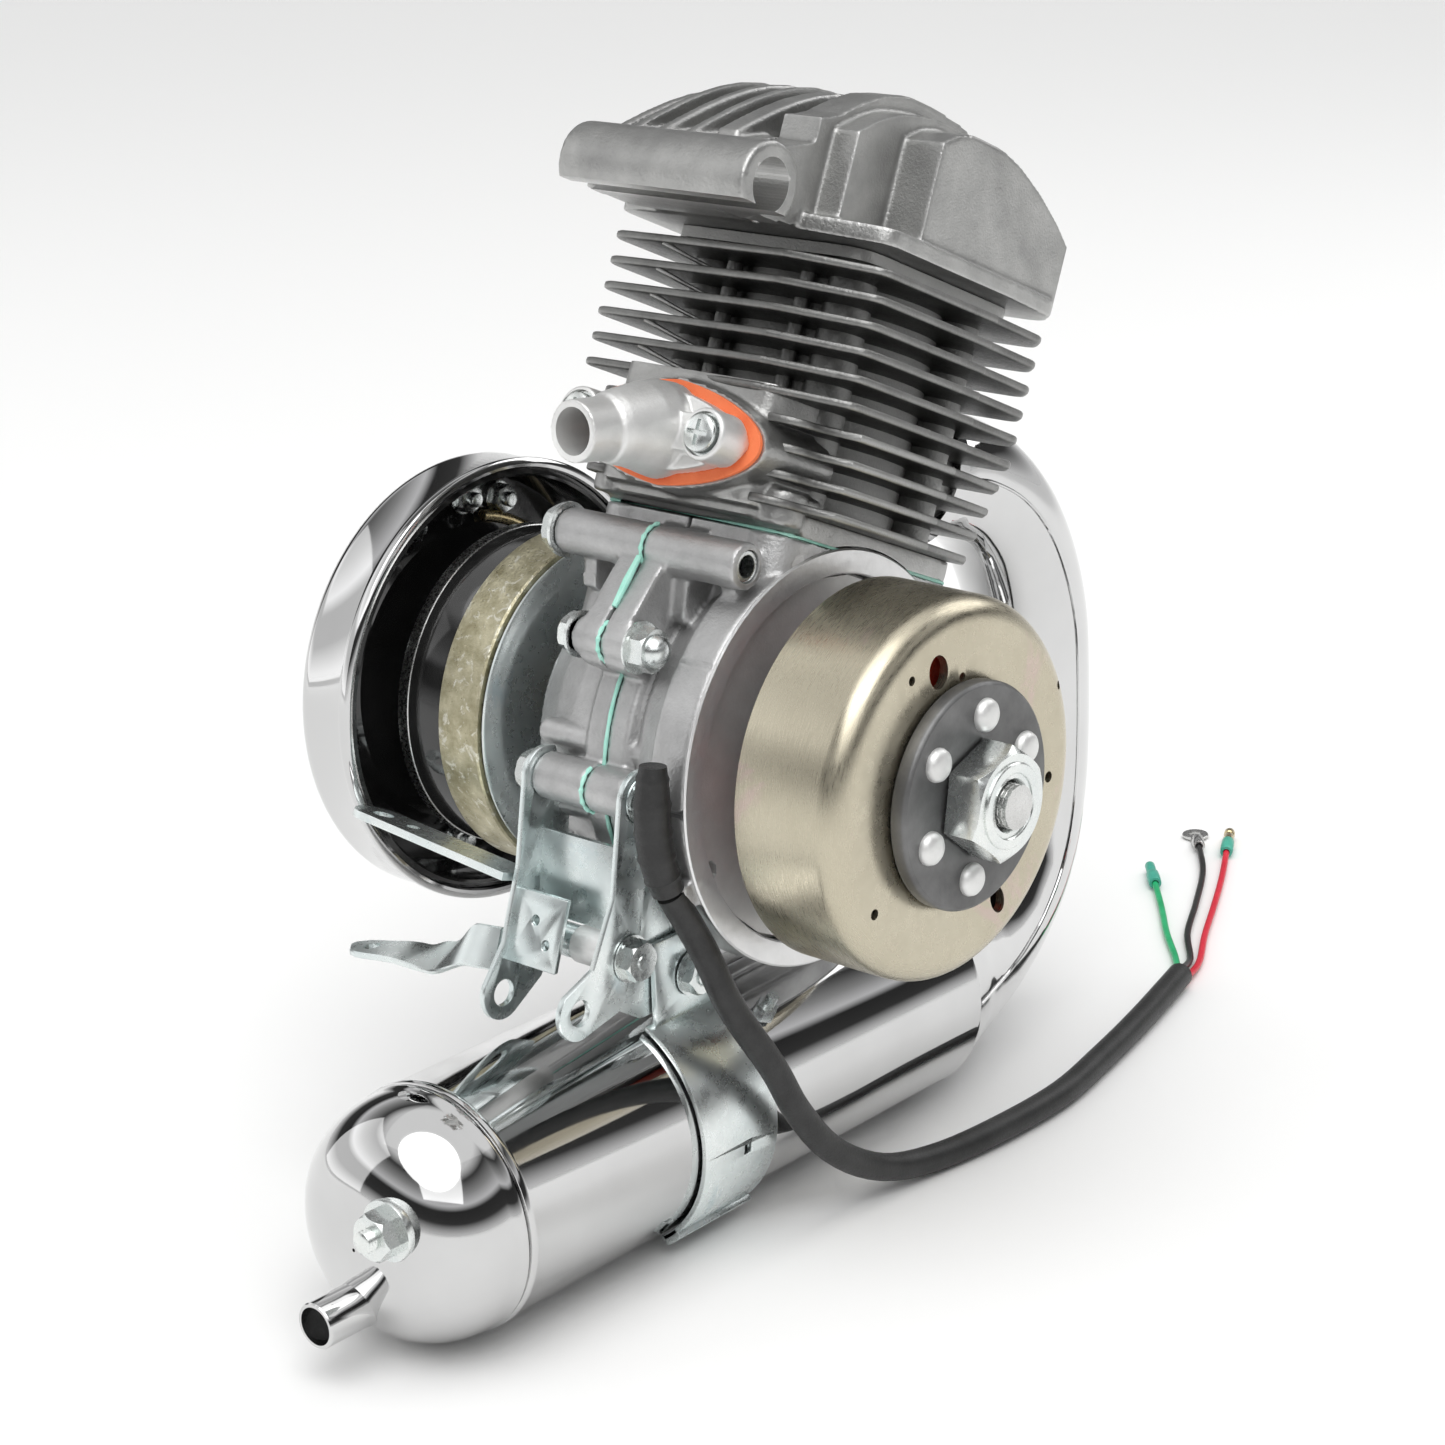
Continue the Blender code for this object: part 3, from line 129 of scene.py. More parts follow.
def surface(name, c0, c1, rough=(0.3, 0.45), metal=1.0, scale=60.0, fine=900.0, bump=0.15, stretch=None,
            grime=None, hollow_shade_amt=0.35, coat=0.0, edge=None, spots=None):
    """Two-tone noise, roughness variation, fine bump, optional painted shade darkening hollows and painted highlights
    brightening convex edges.
    """
    m, nt, b = new_mat(name)
    tc = nt.nodes.new("ShaderNodeTexCoord")
    mp = nt.nodes.new("ShaderNodeMapping")
    nt.links.new(tc.outputs["Object"], mp.inputs["Vector"])
    mp2 = nt.nodes.new("ShaderNodeMapping")
    nt.links.new(tc.outputs["Object"], mp2.inputs["Vector"])
    if stretch:
        mp2.inputs["Scale"].default_value = stretch
    big = noise_node(nt, mp.outputs["Vector"], scale, 5.0, 0.6)
    small = noise_node(nt, mp2.outputs["Vector"], fine, 3.0, 0.6)
    col = ramp(nt, big.outputs["Fac"], [(0.32, c0), (0.68, c1)])
    last = col.outputs["Color"]
    geo = nt.nodes.new("ShaderNodeNewGeometry")
    # painted shade: colour mixed towards the given dark tone in hollows (low pointiness)
    if grime:
        r = ramp(nt, geo.outputs["Pointiness"], [(0.42, (1, 1, 1)), (0.5, (0, 0, 0))])
        mul = nt.nodes.new("ShaderNodeMath"); mul.operation = 'MULTIPLY'
        nt.links.new(r.outputs["Color"], mul.inputs[0]); mul.inputs[1].default_value = hollow_shade_amt
        mx = nt.nodes.new("ShaderNodeMix"); mx.data_type = 'RGBA'
        nt.links.new(mul.outputs[0], mx.inputs["Factor"])
        nt.links.new(last, mx.inputs["A"]); mx.inputs["B"].default_value = (*grime, 1)
        last = mx.outputs["Result"]
    # painted highlight: colour mixed towards the given bright tone on convex edges (high pointiness)
    if edge:
        r = ramp(nt, geo.outputs["Pointiness"], [(0.52, (0, 0, 0)), (0.60, (1, 1, 1))])
        mul = nt.nodes.new("ShaderNodeMath"); mul.operation = 'MULTIPLY'
        nt.links.new(r.outputs["Color"], mul.inputs[0]); mul.inputs[1].default_value = 0.8
        mx = nt.nodes.new("ShaderNodeMix"); mx.data_type = 'RGBA'
        nt.links.new(mul.outputs[0], mx.inputs["Factor"])
        nt.links.new(last, mx.inputs["A"]); mx.inputs["B"].default_value = (*edge, 1)
        last = mx.outputs["Result"]
    if spots:
        sp = noise_node(nt, mp.outputs["Vector"], spots[0], 6.0, 0.7, 0.6)
        r = ramp(nt, sp.outputs["Fac"], [(spots[1], (0, 0, 0)), (spots[1] + 0.07, (1, 1, 1))])
        mx = nt.nodes.new("ShaderNodeMix"); mx.data_type = 'RGBA'
        nt.links.new(r.outputs["Color"], mx.inputs["Factor"])
        nt.links.new(last, mx.inputs["A"]); mx.inputs["B"].default_value = (*spots[2], 1)
        last = mx.outputs["Result"]
    nt.links.new(last, b.inputs["Base Color"])
    rr = nt.nodes.new("ShaderNodeMapRange")
    nt.links.new(small.outputs["Fac"], rr.inputs["Value"])
    rr.inputs["From Min"].default_value = 0.3
    rr.inputs["From Max"].default_value = 0.7
    rr.inputs["To Min"].default_value = rough[0]
    rr.inputs["To Max"].default_value = rough[1]
    nt.links.new(rr.outputs["Result"], b.inputs["Roughness"])
    b.inputs["Metallic"].default_value = metal
    if coat:
        b.inputs["Coat Weight"].default_value = coat
        b.inputs["Coat Roughness"].default_value = 0.06
    if bump:
        bp = nt.nodes.new("ShaderNodeBump")
        bp.inputs["Strength"].default_value = bump
        bp.inputs["Distance"].default_value = 0.0004
        nt.links.new(small.outputs["Fac"], bp.inputs["Height"])
        nt.links.new(bp.outputs["Normal"], b.inputs["Normal"])
    return m


# cast, case, fin and machined finishes get painted shade in hollows; cast, case and fin also get painted highlights on
# convex edges
CAST = surface("cast", (0.33, 0.33, 0.325), (0.47, 0.47, 0.46), (0.3, 0.46), 0.92, 70, 1300, 0.4,
               grime=(0.16, 0.16, 0.155), hollow_shade_amt=0.6, edge=(0.72, 0.72, 0.71))
CASE = surface("case_cast", (0.42, 0.42, 0.42), (0.57, 0.57, 0.57), (0.36, 0.52), 0.88, 60, 1200, 0.4,
               grime=(0.22, 0.22, 0.215), hollow_shade_amt=0.5, edge=(0.78, 0.78, 0.78))
FIN = surface("fin_cast", (0.085, 0.085, 0.082), (0.18, 0.18, 0.175), (0.3, 0.5), 0.9, 90, 1500, 0.45,
              grime=(0.06, 0.06, 0.058), hollow_shade_amt=0.8, edge=(0.52, 0.52, 0.51))
MACH = surface("machined", (0.74, 0.74, 0.73), (0.86, 0.86, 0.85), (0.40, 0.54), 0.75, 80, 1500, 0.2,
               grime=(0.35, 0.35, 0.34), hollow_shade_amt=0.5)
RING = surface("ring_turned", (0.74, 0.74, 0.74), (0.86, 0.86, 0.86), (0.3, 0.45), 0.8, 40, 500, 0.25, stretch=(6, 1, 1))
STEEL = surface("steel", (0.56, 0.56, 0.55), (0.68, 0.68, 0.67), (0.2, 0.34), 1.0, 80, 1200, 0.12)
ZINC = surface("zinc", (0.66, 0.73, 0.73), (0.80, 0.84, 0.83), (0.24, 0.33), 0.95, 35, 260, 0.012,
               spots=(22, 0.60, (0.62, 0.71, 0.73)))
ZINCN = surface("zinc_nut", (0.68, 0.72, 0.72), (0.82, 0.84, 0.82), (0.20, 0.32), 1.0, 60, 500, 0.02)
DARK = surface("dark_steel", (0.13, 0.13, 0.13), (0.20, 0.20, 0.195), (0.35, 0.5), 0.8, 90, 1400, 0.2)
IRON = surface("iron", (0.22, 0.22, 0.23), (0.32, 0.32, 0.32), (0.4, 0.55), 0.9, 90, 1200, 0.2)
CHROME = surface("chrome", (0.60, 0.60, 0.60), (0.68, 0.68, 0.68), (0.03, 0.08), 1.0, 12, 60, 0.015)
GOLD = surface("chromate", (0.50, 0.455, 0.35), (0.59, 0.545, 0.43), (0.22, 0.36), 0.95, 22, 260, 0.06, stretch=(14, 1, 1),
               spots=(30, 0.60, (0.58, 0.48, 0.42)))
BAND = surface("band", (0.32, 0.29, 0.18), (0.62, 0.58, 0.42), (0.25, 0.5), 0.9, 170, 1100, 0.5,
               spots=(260, 0.56, (0.72, 0.70, 0.60)))
BLACKP = surface("black_gloss", (0.010, 0.010, 0.010), (0.022, 0.022, 0.022), (0.06, 0.16), 0.0, 60, 500, 0.03, coat=0.6)
RUBBER = surface("rubber", (0.012, 0.012, 0.012), (0.028, 0.028, 0.028), (0.38, 0.55), 0.0, 130, 1600, 0.25)
GASKET = surface("gasket", (0.86, 0.17, 0.055), (0.95, 0.24, 0.09), (0.55, 0.75), 0.0, 120, 1800, 0.3)
SEAL = surface("sealant", (0.36, 0.80, 0.66), (0.52, 0.90, 0.78), (0.35, 0.55), 0.0, 200, 1400, 0.3)
COIL = surface("coil", (0.50, 0.03, 0.015), (0.70, 0.07, 0.03), (0.25, 0.45), 0.0, 150, 1800, 0.5)
BRONZE = surface("bronze", (0.50, 0.34, 0.15), (0.62, 0.45, 0.22), (0.28, 0.42), 1.0, 90, 1200, 0.2)
BRASS = surface("brass", (0.62, 0.50, 0.28), (0.76, 0.64, 0.38), (0.2, 0.36), 1.0, 120, 1600, 0.15)
WRED = surface("w_red", (0.62, 0.01, 0.03), (0.78, 0.03, 0.06), (0.3, 0.45), 0.0, 120, 1500, 0.1)
WGREEN = surface("w_green", (0.01, 0.36, 0.13), (0.03, 0.50, 0.20), (0.3, 0.45), 0.0, 120, 1500, 0.1)
WBLACK = surface("w_black", (0.012, 0.012, 0.012), (0.03, 0.03, 0.03), (0.3, 0.45), 0.0, 120, 1500, 0.1)
TEALS = surface("sleeve_green", (0.04, 0.34, 0.25), (0.08, 0.46, 0.34), (0.3, 0.5), 0.0, 120, 1500, 0.1)
PISTON = surface("piston_alloy", (0.60, 0.60, 0.58), (0.72, 0.72, 0.70), (0.25, 0.4), 1.0, 70, 700, 0.2, stretch=(1, 1, 10))

BY_SLOT = {"cast_aluminium": CASE, "fin_aluminium": FIN, "machined_aluminium": MACH, "bright_steel": STEEL,
           "dark_steel": DARK, "cast_iron": IRON, "zinc_plate": ZINC, "chrome_plate": CHROME, "yellow_chromate": GOLD,
           "black_paint": BLACKP, "bronze": BRONZE, "brass": BRASS, "black_rubber": RUBBER, "orange_gasket": GASKET,
           "teal_sealant": SEAL, "red_coil": COIL, "wire_red": WRED, "wire_green": WGREEN, "piston_alloy": PISTON}
SLOT_OF = {s["node"]: s["material_slot"] for s in frame["record"]["subparts"]}
for nm, ob in frame["nodes"].items():
    mt = BY_SLOT[SLOT_OF[nm]]
    ob.data.materials.clear()
    ob.data.materials.append(mt)


# ------------------------------------------------------------------ mesh tools
def finish_bm(bm):
    bmesh.ops.remove_doubles(bm, verts=bm.verts, dist=1e-6)
    bmesh.ops.dissolve_degenerate(bm, edges=bm.edges, dist=1e-7)
    bmesh.ops.recalc_face_normals(bm, faces=bm.faces)
    me = bpy.data.meshes.new("m")
    bm.to_mesh(me)
    bm.free()
    return me


def lathe(profile, n=96, ring=False):
    bm = bmesh.new()
    vs = [bm.verts.new((r * MM, 0.0, z * MM)) for r, z in profile]
    es = [bm.edges.new((vs[i], vs[i + 1])) for i in range(len(vs) - 1)]
    if ring:
        es.append(bm.edges.new((vs[-1], vs[0])))
    bmesh.ops.spin(bm, geom=vs + es, cent=(0, 0, 0), axis=(0, 0, 1), angle=2 * math.pi, steps=n,
                   use_merge=False, use_duplicate=False)
    return finish_bm(bm)


def prism(points, z0, z1):
    bm = bmesh.new()
    vs = [bm.verts.new((x * MM, y * MM, z0 * MM)) for x, y in points]
    f = bm.faces.new(vs)
    r = bmesh.ops.extrude_face_region(bm, geom=[f])
    upv = [g for g in r["geom"] if isinstance(g, bmesh.types.BMVert)]
    bmesh.ops.translate(bm, verts=upv, vec=(0, 0, (z1 - z0) * MM))
    return finish_bm(bm)


def circle(cx, cy, r, n=48, phase=0.5):
    return [(cx + r * math.cos(2 * math.pi * (i + phase) / n), cy + r * math.sin(2 * math.pi * (i + phase) / n)) for i in range(n)]


def round_poly(points, rads, seg=6):
    """Polygon with rounded corners; rads is one radius or a list."""
    n = len(points)
    if not isinstance(rads, (list, tuple)):
        rads = [rads] * n
    out = []
    for i in range(n):
        p = Vector(points[i]); a = (Vector(points[i - 1]) - p); b = (Vector(points[(i + 1) % n]) - p)
        r = rads[i]
        if r <= 0 or a.length < 1e-6 or b.length < 1e-6:
            out.append(tuple(p)); continue
        ua, ub = a.normalized(), b.normalized()
        ang = ua.angle(ub)
        d = min(r / max(math.tan(ang / 2), 1e-4), a.length * 0.48, b.length * 0.48)
        p1, p2 = p + ua * d, p + ub * d
        for k in range(seg + 1):
            t = k / seg
            q = p1 * (1 - t) ** 2 + p * 2 * t * (1 - t) + p2 * t * t
            out.append((q.x, q.y))
    return out


def rect(x0, x1, y0, y1):
    return [(x0, y0), (x1, y0), (x1, y1), (x0, y1)]


def moved(me, mat):
    me.transform(mat)
    if mat.determinant() < 0:
        me.flip_normals()
    return me


def shift(me, x=0.0, y=0.0, z=0.0):
    return moved(me, Matrix.Translation((x * MM, y * MM, z * MM)))


def yz(points, x0, x1):
    return moved(prism(points, x0, x1), Matrix(((0, 0, 1, 0), (1, 0, 0, 0), (0, 1, 0, 0), (0, 0, 0, 1))))


def xz(points, y0, y1):
    return moved(prism(points, y0, y1), Matrix(((1, 0, 0, 0), (0, 0, 1, 0), (0, 1, 0, 0), (0, 0, 0, 1))))


def xcyl(r, x0, x1, y, z, n=48, c=0.6):
    """Cylinder along X with small rounded ends."""
    me = moved(lathe([(0, x0), (r - c, x0), (r - 0.3 * c, x0 + 0.3 * c), (r, x0 + c), (r, x1 - c), (r - 0.3 * c, x1 - 0.3 * c),
                      (r - c, x1), (0, x1)], n), TO_X)
    return shift(me, 0, y, z)


def zcyl(r, z0, z1, x, y, n=40, c=0.5):
    return shift(lathe([(0, z0), (r - c, z0), (r, z0 + c), (r, z1 - c), (r - c, z1), (0, z1)], n), x, y, 0)


def hexa(af, cx=0.0, cy=0.0, turn=0.0):
    r = af / math.sqrt(3)
    return [(cx + r * math.cos(math.radians(60 * i + turn)), cy + r * math.sin(math.radians(60 * i + turn))) for i in range(6)]


def evaluated(ob):
    dg = bpy.context.evaluated_depsgraph_get()
    dg.update()
    return bpy.data.meshes.new_from_object(ob.evaluated_get(dg))


def boolean(base, op, tools):
    ob = bpy.data.objects.new("tmp", base)
    scene.collection.objects.link(ob)
    temps = []
    for me in tools:
        t = bpy.data.objects.new("tmpt", me)
        scene.collection.objects.link(t)
        temps.append(t)
        m = ob.modifiers.new("b", 'BOOLEAN')
        m.operation = op
        m.solver = 'EXACT'
        m.object = t
    res = evaluated(ob)
    for t in temps:
        bpy.data.objects.remove(t, do_unlink=True)
    bpy.data.objects.remove(ob, do_unlink=True)
    return res


def cut(base, *tools):
    return boolean(base, 'DIFFERENCE', tools)


def union(base, *tools):
    return boolean(base, 'UNION', tools)


def joined(*meshes):
    """Overlapping closed shells put in one mesh."""
    bm = bmesh.new()
    for me in meshes:
        bm.from_mesh(me)
    me = bpy.data.meshes.new("j")
    bm.to_mesh(me)
    bm.free()
    return me


def bevelled(me, w, seg=2, ang=40):
    ob = bpy.data.objects.new("tmp", me)
    scene.collection.objects.link(ob)
    m = ob.modifiers.new("bv", 'BEVEL')
    m.width = w * MM
    m.segments = seg
    m.limit_method = 'ANGLE'
    m.angle_limit = math.radians(ang)
    m.use_clamp_overlap = True
    res = evaluated(ob)
    bpy.data.objects.remove(ob, do_unlink=True)
    return res


def cast_skin(me, voxel=0.8, smooth=4, factor=0.5):
    """One continuous skin with softened edges and fillets, as a casting has."""
    ob = bpy.data.objects.new("tmp", me)
    scene.collection.objects.link(ob)
    m = ob.modifiers.new("r", 'REMESH')
    m.mode = 'VOXEL'
    m.voxel_size = voxel * MM
    m.adaptivity = 0.0
    s = ob.modifiers.new("s", 'SMOOTH')
    s.iterations = smooth
    s.factor = factor
    res = evaluated(ob)
    bpy.data.objects.remove(ob, do_unlink=True)
    return res


def put(name, me, mat, body, nodes=(), slot=None, frame_m=M_ENG, angle=35):
    me = me.copy() if me.users else me
    me.transform(frame_m)
    ob = bpy.data.objects.new(name, me)
    scene.collection.objects.link(ob)
    me.materials.clear()
    for mt in (mat if isinstance(mat, (list, tuple)) else [mat]):
        me.materials.append(mt)
    me.shade_smooth()
    me.set_sharp_from_angle(angle=math.radians(angle))
    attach(ob, body)
    if nodes:
        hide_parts(*nodes)
        slot = slot or SLOT_OF[nodes[0]]
    return ob


def catmull(points, per=12):
    P = [Vector(p) for p in points]
    P = [P[0] * 2 - P[1]] + P + [P[-1] * 2 - P[-2]]
    out = []
    for i in range(1, len(P) - 2):
        p0, p1, p2, p3 = P[i - 1:i + 3]
        for k in range(per):
            t = k / per
            out.append(0.5 * ((2 * p1) + (p2 - p0) * t + (2 * p0 - 5 * p1 + 4 * p2 - p3) * t * t + (3 * p1 - p0 - 3 * p2 + p3) * t ** 3))
    out.append(P[-2])
    return out


def resample(points, step):
    out = [points[0].copy()]
    need = step
    for a, b in zip(points, points[1:]):
        seg = (b - a).length
        pos = 0.0
        while seg - pos >= need:
            pos += need
            out.append(a.lerp(b, pos / seg))
            need = step
        need -= seg - pos
    if (out[-1] - points[-1]).length > step * 0.4:
        out.append(points[-1].copy())
    else:
        out[-1] = points[-1].copy()
    return out


def loft(path, radii, n=48, wall=None):
    P = [Vector(p) * MM for p in path]
    bm = bmesh.new()
    rings = {0: [], 1: []}
    side = Vector((1, 0, 0))
    for i, p in enumerate(P):
        t = (P[min(i + 1, len(P) - 1)] - P[max(i - 1, 0)]).normalized()
        u = (side - t * side.dot(t)).normalized()
        v = t.cross(u)
        for k in ((0, 1) if wall else (0,)):
            r = (radii[i] - (wall if k else 0.0)) * MM
            rings[k].append([bm.verts.new(p + u * (r * math.cos(2 * math.pi * j / n)) + v * (r * math.sin(2 * math.pi * j / n))) for j in range(n)])

    def skin(rs):
        for a, b in zip(rs, rs[1:]):
            for j in range(n):
                bm.faces.new((a[j], a[(j + 1) % n], b[(j + 1) % n], b[j]))
    skin(rings[0])
    if wall:
        skin(rings[1])
        for e in (0, -1):
            a, b = rings[0][e], rings[1][e]
            for j in range(n):
                bm.faces.new((a[j], a[(j + 1) % n], b[(j + 1) % n], b[j]))
    else:
        bm.faces.new(rings[0][0])
        bm.faces.new(rings[0][-1])
    return finish_bm(bm)


def arc(cx, cy, r, a0, a1, n=10):
    return [(cx + r * math.cos(math.radians(a0 + (a1 - a0) * i / n)), cy + r * math.sin(math.radians(a0 + (a1 - a0) * i / n))) for i in range(n + 1)]


# ------------------------------------------------------------------ cords
SHEATH_R, WIRE_R = 4.0, 1.1
LAY = FLOOR_Z + SHEATH_R + 0.1
SHEATH = [(28.8, -58.6, -21.5), (32.6, -51.0, -38.7), (37.2, -46.0, -55.6), (41.9, -35.0, -76.0), (42.4, -26.0, -92.0),
          (43.2, -12.0, -109.0), (44.5, 8.0, -121.5), (47.0, 30.0, LAY), (50.2, 55.1, LAY), (50.3, 84.9, LAY),
          (45.5, 112.2, LAY), (38.4, 144.0, LAY), (28.7, 180.8, LAY)]
Z1, Z2 = FLOOR_Z + 1.3, FLOOR_Z + 2.2
WIRES = {
    "wire_red": [(30.1, 181.9, LAY - 1.2), (24.5, 198.0, Z1), (13.0, 219.0, Z1), (0.5, 244.0, Z1), (-12.0, 268.0, Z1), (-26.0, 293.0, Z2)],
    "wire_black": [(28.4, 181.5, LAY + 1.5), (20.5, 199.0, Z1), (7.5, 217.0, Z1), (-5.0, 241.0, Z1), (-20.0, 268.0, Z1), (-36.0, 289.0, Z2)],
    "wire_green": [(27.2, 181.1, LAY - 1.2), (17.0, 196.0, Z1), (2.0, 213.0, Z1), (-13.0, 232.0, Z1), (-30.0, 252.0, Z2)],
}


def tube(name, route, radius, mat, step, res=6):
    pts = resample(catmull([Vector(p) for p in route], 12), step)
    cu = bpy.data.curves.new(name, 'CURVE')
    cu.dimensions = '3D'
    cu.bevel_depth = radius * MM
    cu.bevel_resolution = res
    cu.use_fill_caps = True
    sp = cu.splines.new('POLY')
    sp.points.add(len(pts) - 1)
    for q, p in zip(sp.points, pts):
        w = W(*p)
        q.co = (w.x, w.y, w.z, 1.0)
    sp.use_smooth = True
    ob = bpy.data.objects.new(name, cu)
    cu.materials.append(mat)
    scene.collection.objects.link(ob)
    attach(ob, "case")
    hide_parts(name.replace("_v", ""))
    length = sum((b - a).length for a, b in zip(pts, pts[1:])) * MM
    return ob, pts, length


sheath, spts, slen = tube("harness_sheath_v", SHEATH, SHEATH_R, RUBBER, 5.0)
ends, wires = {}, {}
for nm, mt in (("wire_red", WRED), ("wire_black", WBLACK), ("wire_green", WGREEN)):
    ob, p, ln = tube(nm + "_v", WIRES[nm], WIRE_R, mt, 5.0, 4)
    wires[nm] = (ob, ln, p)
    ends[nm] = (p[-1], (p[-1] - p[-2]).normalized())


def at_end(nm, me):
    p, d = ends[nm]
    return moved(me, Matrix.Translation((p.x * MM, p.y * MM, (FLOOR_Z + 2.2) * MM)) @ Matrix.Rotation(math.atan2(d.y, d.x), 4, 'Z'))


def barrel_x(r0, r1, x0, x1, n=32, bulge=0.0):
    mid = (x0 + x1) / 2
    return moved(lathe([(r0, x0), (r1 - 0.15, x0), (r1, x0 + 0.3), (r1 + bulge, mid), (r1, x1 - 0.3), (r1 - 0.15, x1), (r0, x1)], n, ring=True), TO_X)


eye = cut(union(zcyl(4.6, -2.0, -1.0, 9.6, 0, 40, 0.2), prism(rect(-0.5, 7.0, -2.0, 2.0), -2.0, -1.0)), zcyl(2.3, -5, 5, 9.6, 0, 32, 0.1))
ringt = put("ring_terminal_v", at_end("wire_black", joined(eye, barrel_x(1.35, 2.1, -6.0, 1.2, 32, 0.0))), STEEL, "case", ("ring_terminal",))
bul = moved(lathe([(0, 1.5), (1.9, 1.5), (1.9, 6.0), (1.5, 6.6), (1.5, 7.4), (1.9, 7.9), (1.9, 10.2), (1.1, 11.6), (0, 11.8)], 32), TO_X)
bullet = put("bullet_terminal_v", at_end("wire_red", bul), BRASS, "case", (), "brass")
rsl = put("red_sleeve_v", at_end("wire_red", barrel_x(1.2, 2.15, -9.0, 1.4, 32, 0.12)), TEALS, "case", (), "wire_green")
gsl = put("green_sleeve_v", at_end("wire_green", joined(barrel_x(1.2, 2.15, -8.0, 1.0, 32, 0.1), barrel_x(0.9, 1.7, 0.8, 9.0, 32, 0.0))), TEALS, "case", (), "wire_green")

# ------------------------------------------------------------------ flywheel
def rnd(cr, cz, r, a0, a1, n=8):
    return [(cr + r * math.cos(math.radians(a0 + (a1 - a0) * i / n)), cz + r * math.sin(math.radians(a0 + (a1 - a0) * i / n))) for i in range(n + 1)]


prof = [(48.9, 45.9), (49.3, 45.5), (51.6, 45.5), (52.0, 45.9)] + rnd(45.0, 72.3, 7.0, 0, 90, 12) + \
       [(30.0, 79.3), (29.2, 79.0), (16.4, 79.0), (16.4, 76.6), (44.5, 76.6), (48.9, 72.5)]
cup = moved(lathe(prof, 160, ring=True), TO_X)


def hole(ang, rad, hr, ht, n=28):
    a = math.radians(ang)
    pts = []
    for k in range(n):
        t = 2 * math.pi * k / n
        pr, pt = rad + hr * math.cos(t), ht * math.sin(t)
        pts.append((pr * math.cos(a) - pt * math.sin(a), pr * math.sin(a) + pt * math.cos(a)))
    return yz(pts, 72, 90)


cup = cut(cup, hole(104, 36.6, 4.7, 3.9), hole(-66, 38.0, 4.4, 2.8), hole(119, 41.3, 1.3, 1.3, 14),
          hole(88, 31.6, 1.3, 1.3, 14), hole(21.5, 48.0, 1.2, 1.2, 14), hole(-10, 39.5, 1.6, 1.6, 14), hole(-149, 43.1, 1.5, 1.5, 14))
put("flywheel_cup_v", cup, GOLD, "crank", ("flywheel_cup",), angle=40)
mag = joined(*[yz(arc(0, 0, 48.2, a + 3, a + 87, 20) + arc(0, 0, 42.6, a + 87, a + 3, 20), 50, 74.8) for a in (0, 90, 180, 270)])
put("flywheel_magnets_v", bevelled(mag, 0.5), DARK, "crank", ("flywheel_magnets",))
hubp = [(9.8, 52.0), (15.4, 52.0), (15.8, 52.6), (15.8, 79.6), (30.2, 79.6), (30.8, 80.2), (30.8, 83.4), (30.5, 84.1), (29.8, 84.6), (16.0, 84.6), (15.6, 84.4), (8.2, 84.4), (8.2, 78.0)]
hub = moved(lathe(hubp, 120, ring=True), TO_X)
put("flywheel_hub_v", hub, surface("hub", (0.12, 0.12, 0.12), (0.20, 0.20, 0.20), (0.34, 0.46), 0.75, 60, 500, 0.12), "crank", ("flywheel_hub",))
rv = []
for k in range(6):
    a = math.radians(81 + 60 * k)
    r1 = moved(lathe([(0, 84.0), (4.5, 84.0), (4.6, 85.2), (4.2, 86.3), (3.4, 87.0), (2.0, 87.45), (0, 87.6)], 40), TO_X)
    rv.append(shift(r1, 0, 22.0 * math.cos(a), 22.0 * math.sin(a)))
put("flywheel_rivets_v", joined(*rv), MACH, "crank", (), "machined_aluminium")
nutb = yz(hexa(27.5, 0, 0, 20), 85.0, 95.6)
chf = moved(lathe([(0, 84), (16.6, 84), (16.6, 93.4), (13.6, 95.7), (0, 95.7)], 96), TO_X)
nutb = boolean(nutb, 'INTERSECT', [chf])
nutb = cut(nutb, moved(lathe([(0, 80), (6.35, 80), (6.35, 94.2), (8.0, 96.6), (0, 96.6)], 48), TO_X))
coll = moved(lathe([(8.6, 94.8), (11.6, 94.8), (11.6, 96.0), (11.2, 96.4), (9.0, 96.4), (8.6, 96.0)], 64, ring=True), TO_X)
put("flywheel_nut_v", bevelled(joined(nutb, coll), 0.25), ZINCN, "crank", ("flywheel_nut",))
thr = [(0, 84.5)] + [p for k in range(11) for p in ((6.0, 84.6 + k * 1.2), (5.5, 85.2 + k * 1.2))] + [(5.2, 97.9), (1.6, 98.0), (0.5, 96.4), (0, 96.4)]
shaft = joined(moved(lathe(thr, 40), TO_X), moved(lathe([(0, 38.0), (9.7, 38.0), (9.6, 44.0), (8.1, 52.0), (7.6, 84.4), (0, 84.4)], 48), TO_X))
put("crank_end_v", shaft, STEEL, "crank", (), "bright_steel")

# ------------------------------------------------------------------ clutch drum and pulley
dr = [(10.0, -106.9), (57.0, -107.0)] + [(r, -z) for r, z in rnd(58.5, 101.0, 6.0, 90, 0, 8)] + \
     [(64.5, -89.0), (65.0, -88.0), (65.3, -86.8), (65.2, -85.6), (64.6, -84.9), (63.6, -84.6), (62.7, -84.9), (62.3, -85.8), (63.0, -88.5), (63.0, -101.0), (59.0, -105.6), (10.0, -105.6)]
put("clutch_drum_v", moved(lathe(dr, 160, ring=True), TO_X), CHROME, "crank", ("clutch_drum",))
lin = [(10.0, -105.4), (58.6, -105.4), (62.6, -101.2), (62.8, -88.6), (62.1, -86.2), (60.6, -85.6), (59.8, -86.4), (60.4, -88.6), (60.2, -100.2),
       (57.4, -103.6), (47.0, -104.0), (44.0, -101.5), (16.0, -101.5), (10.0, -104.0)]
put("drum_liner_v", moved(lathe(lin, 160, ring=True), TO_X), BLACKP, "crank", (), "black_paint")
db = []
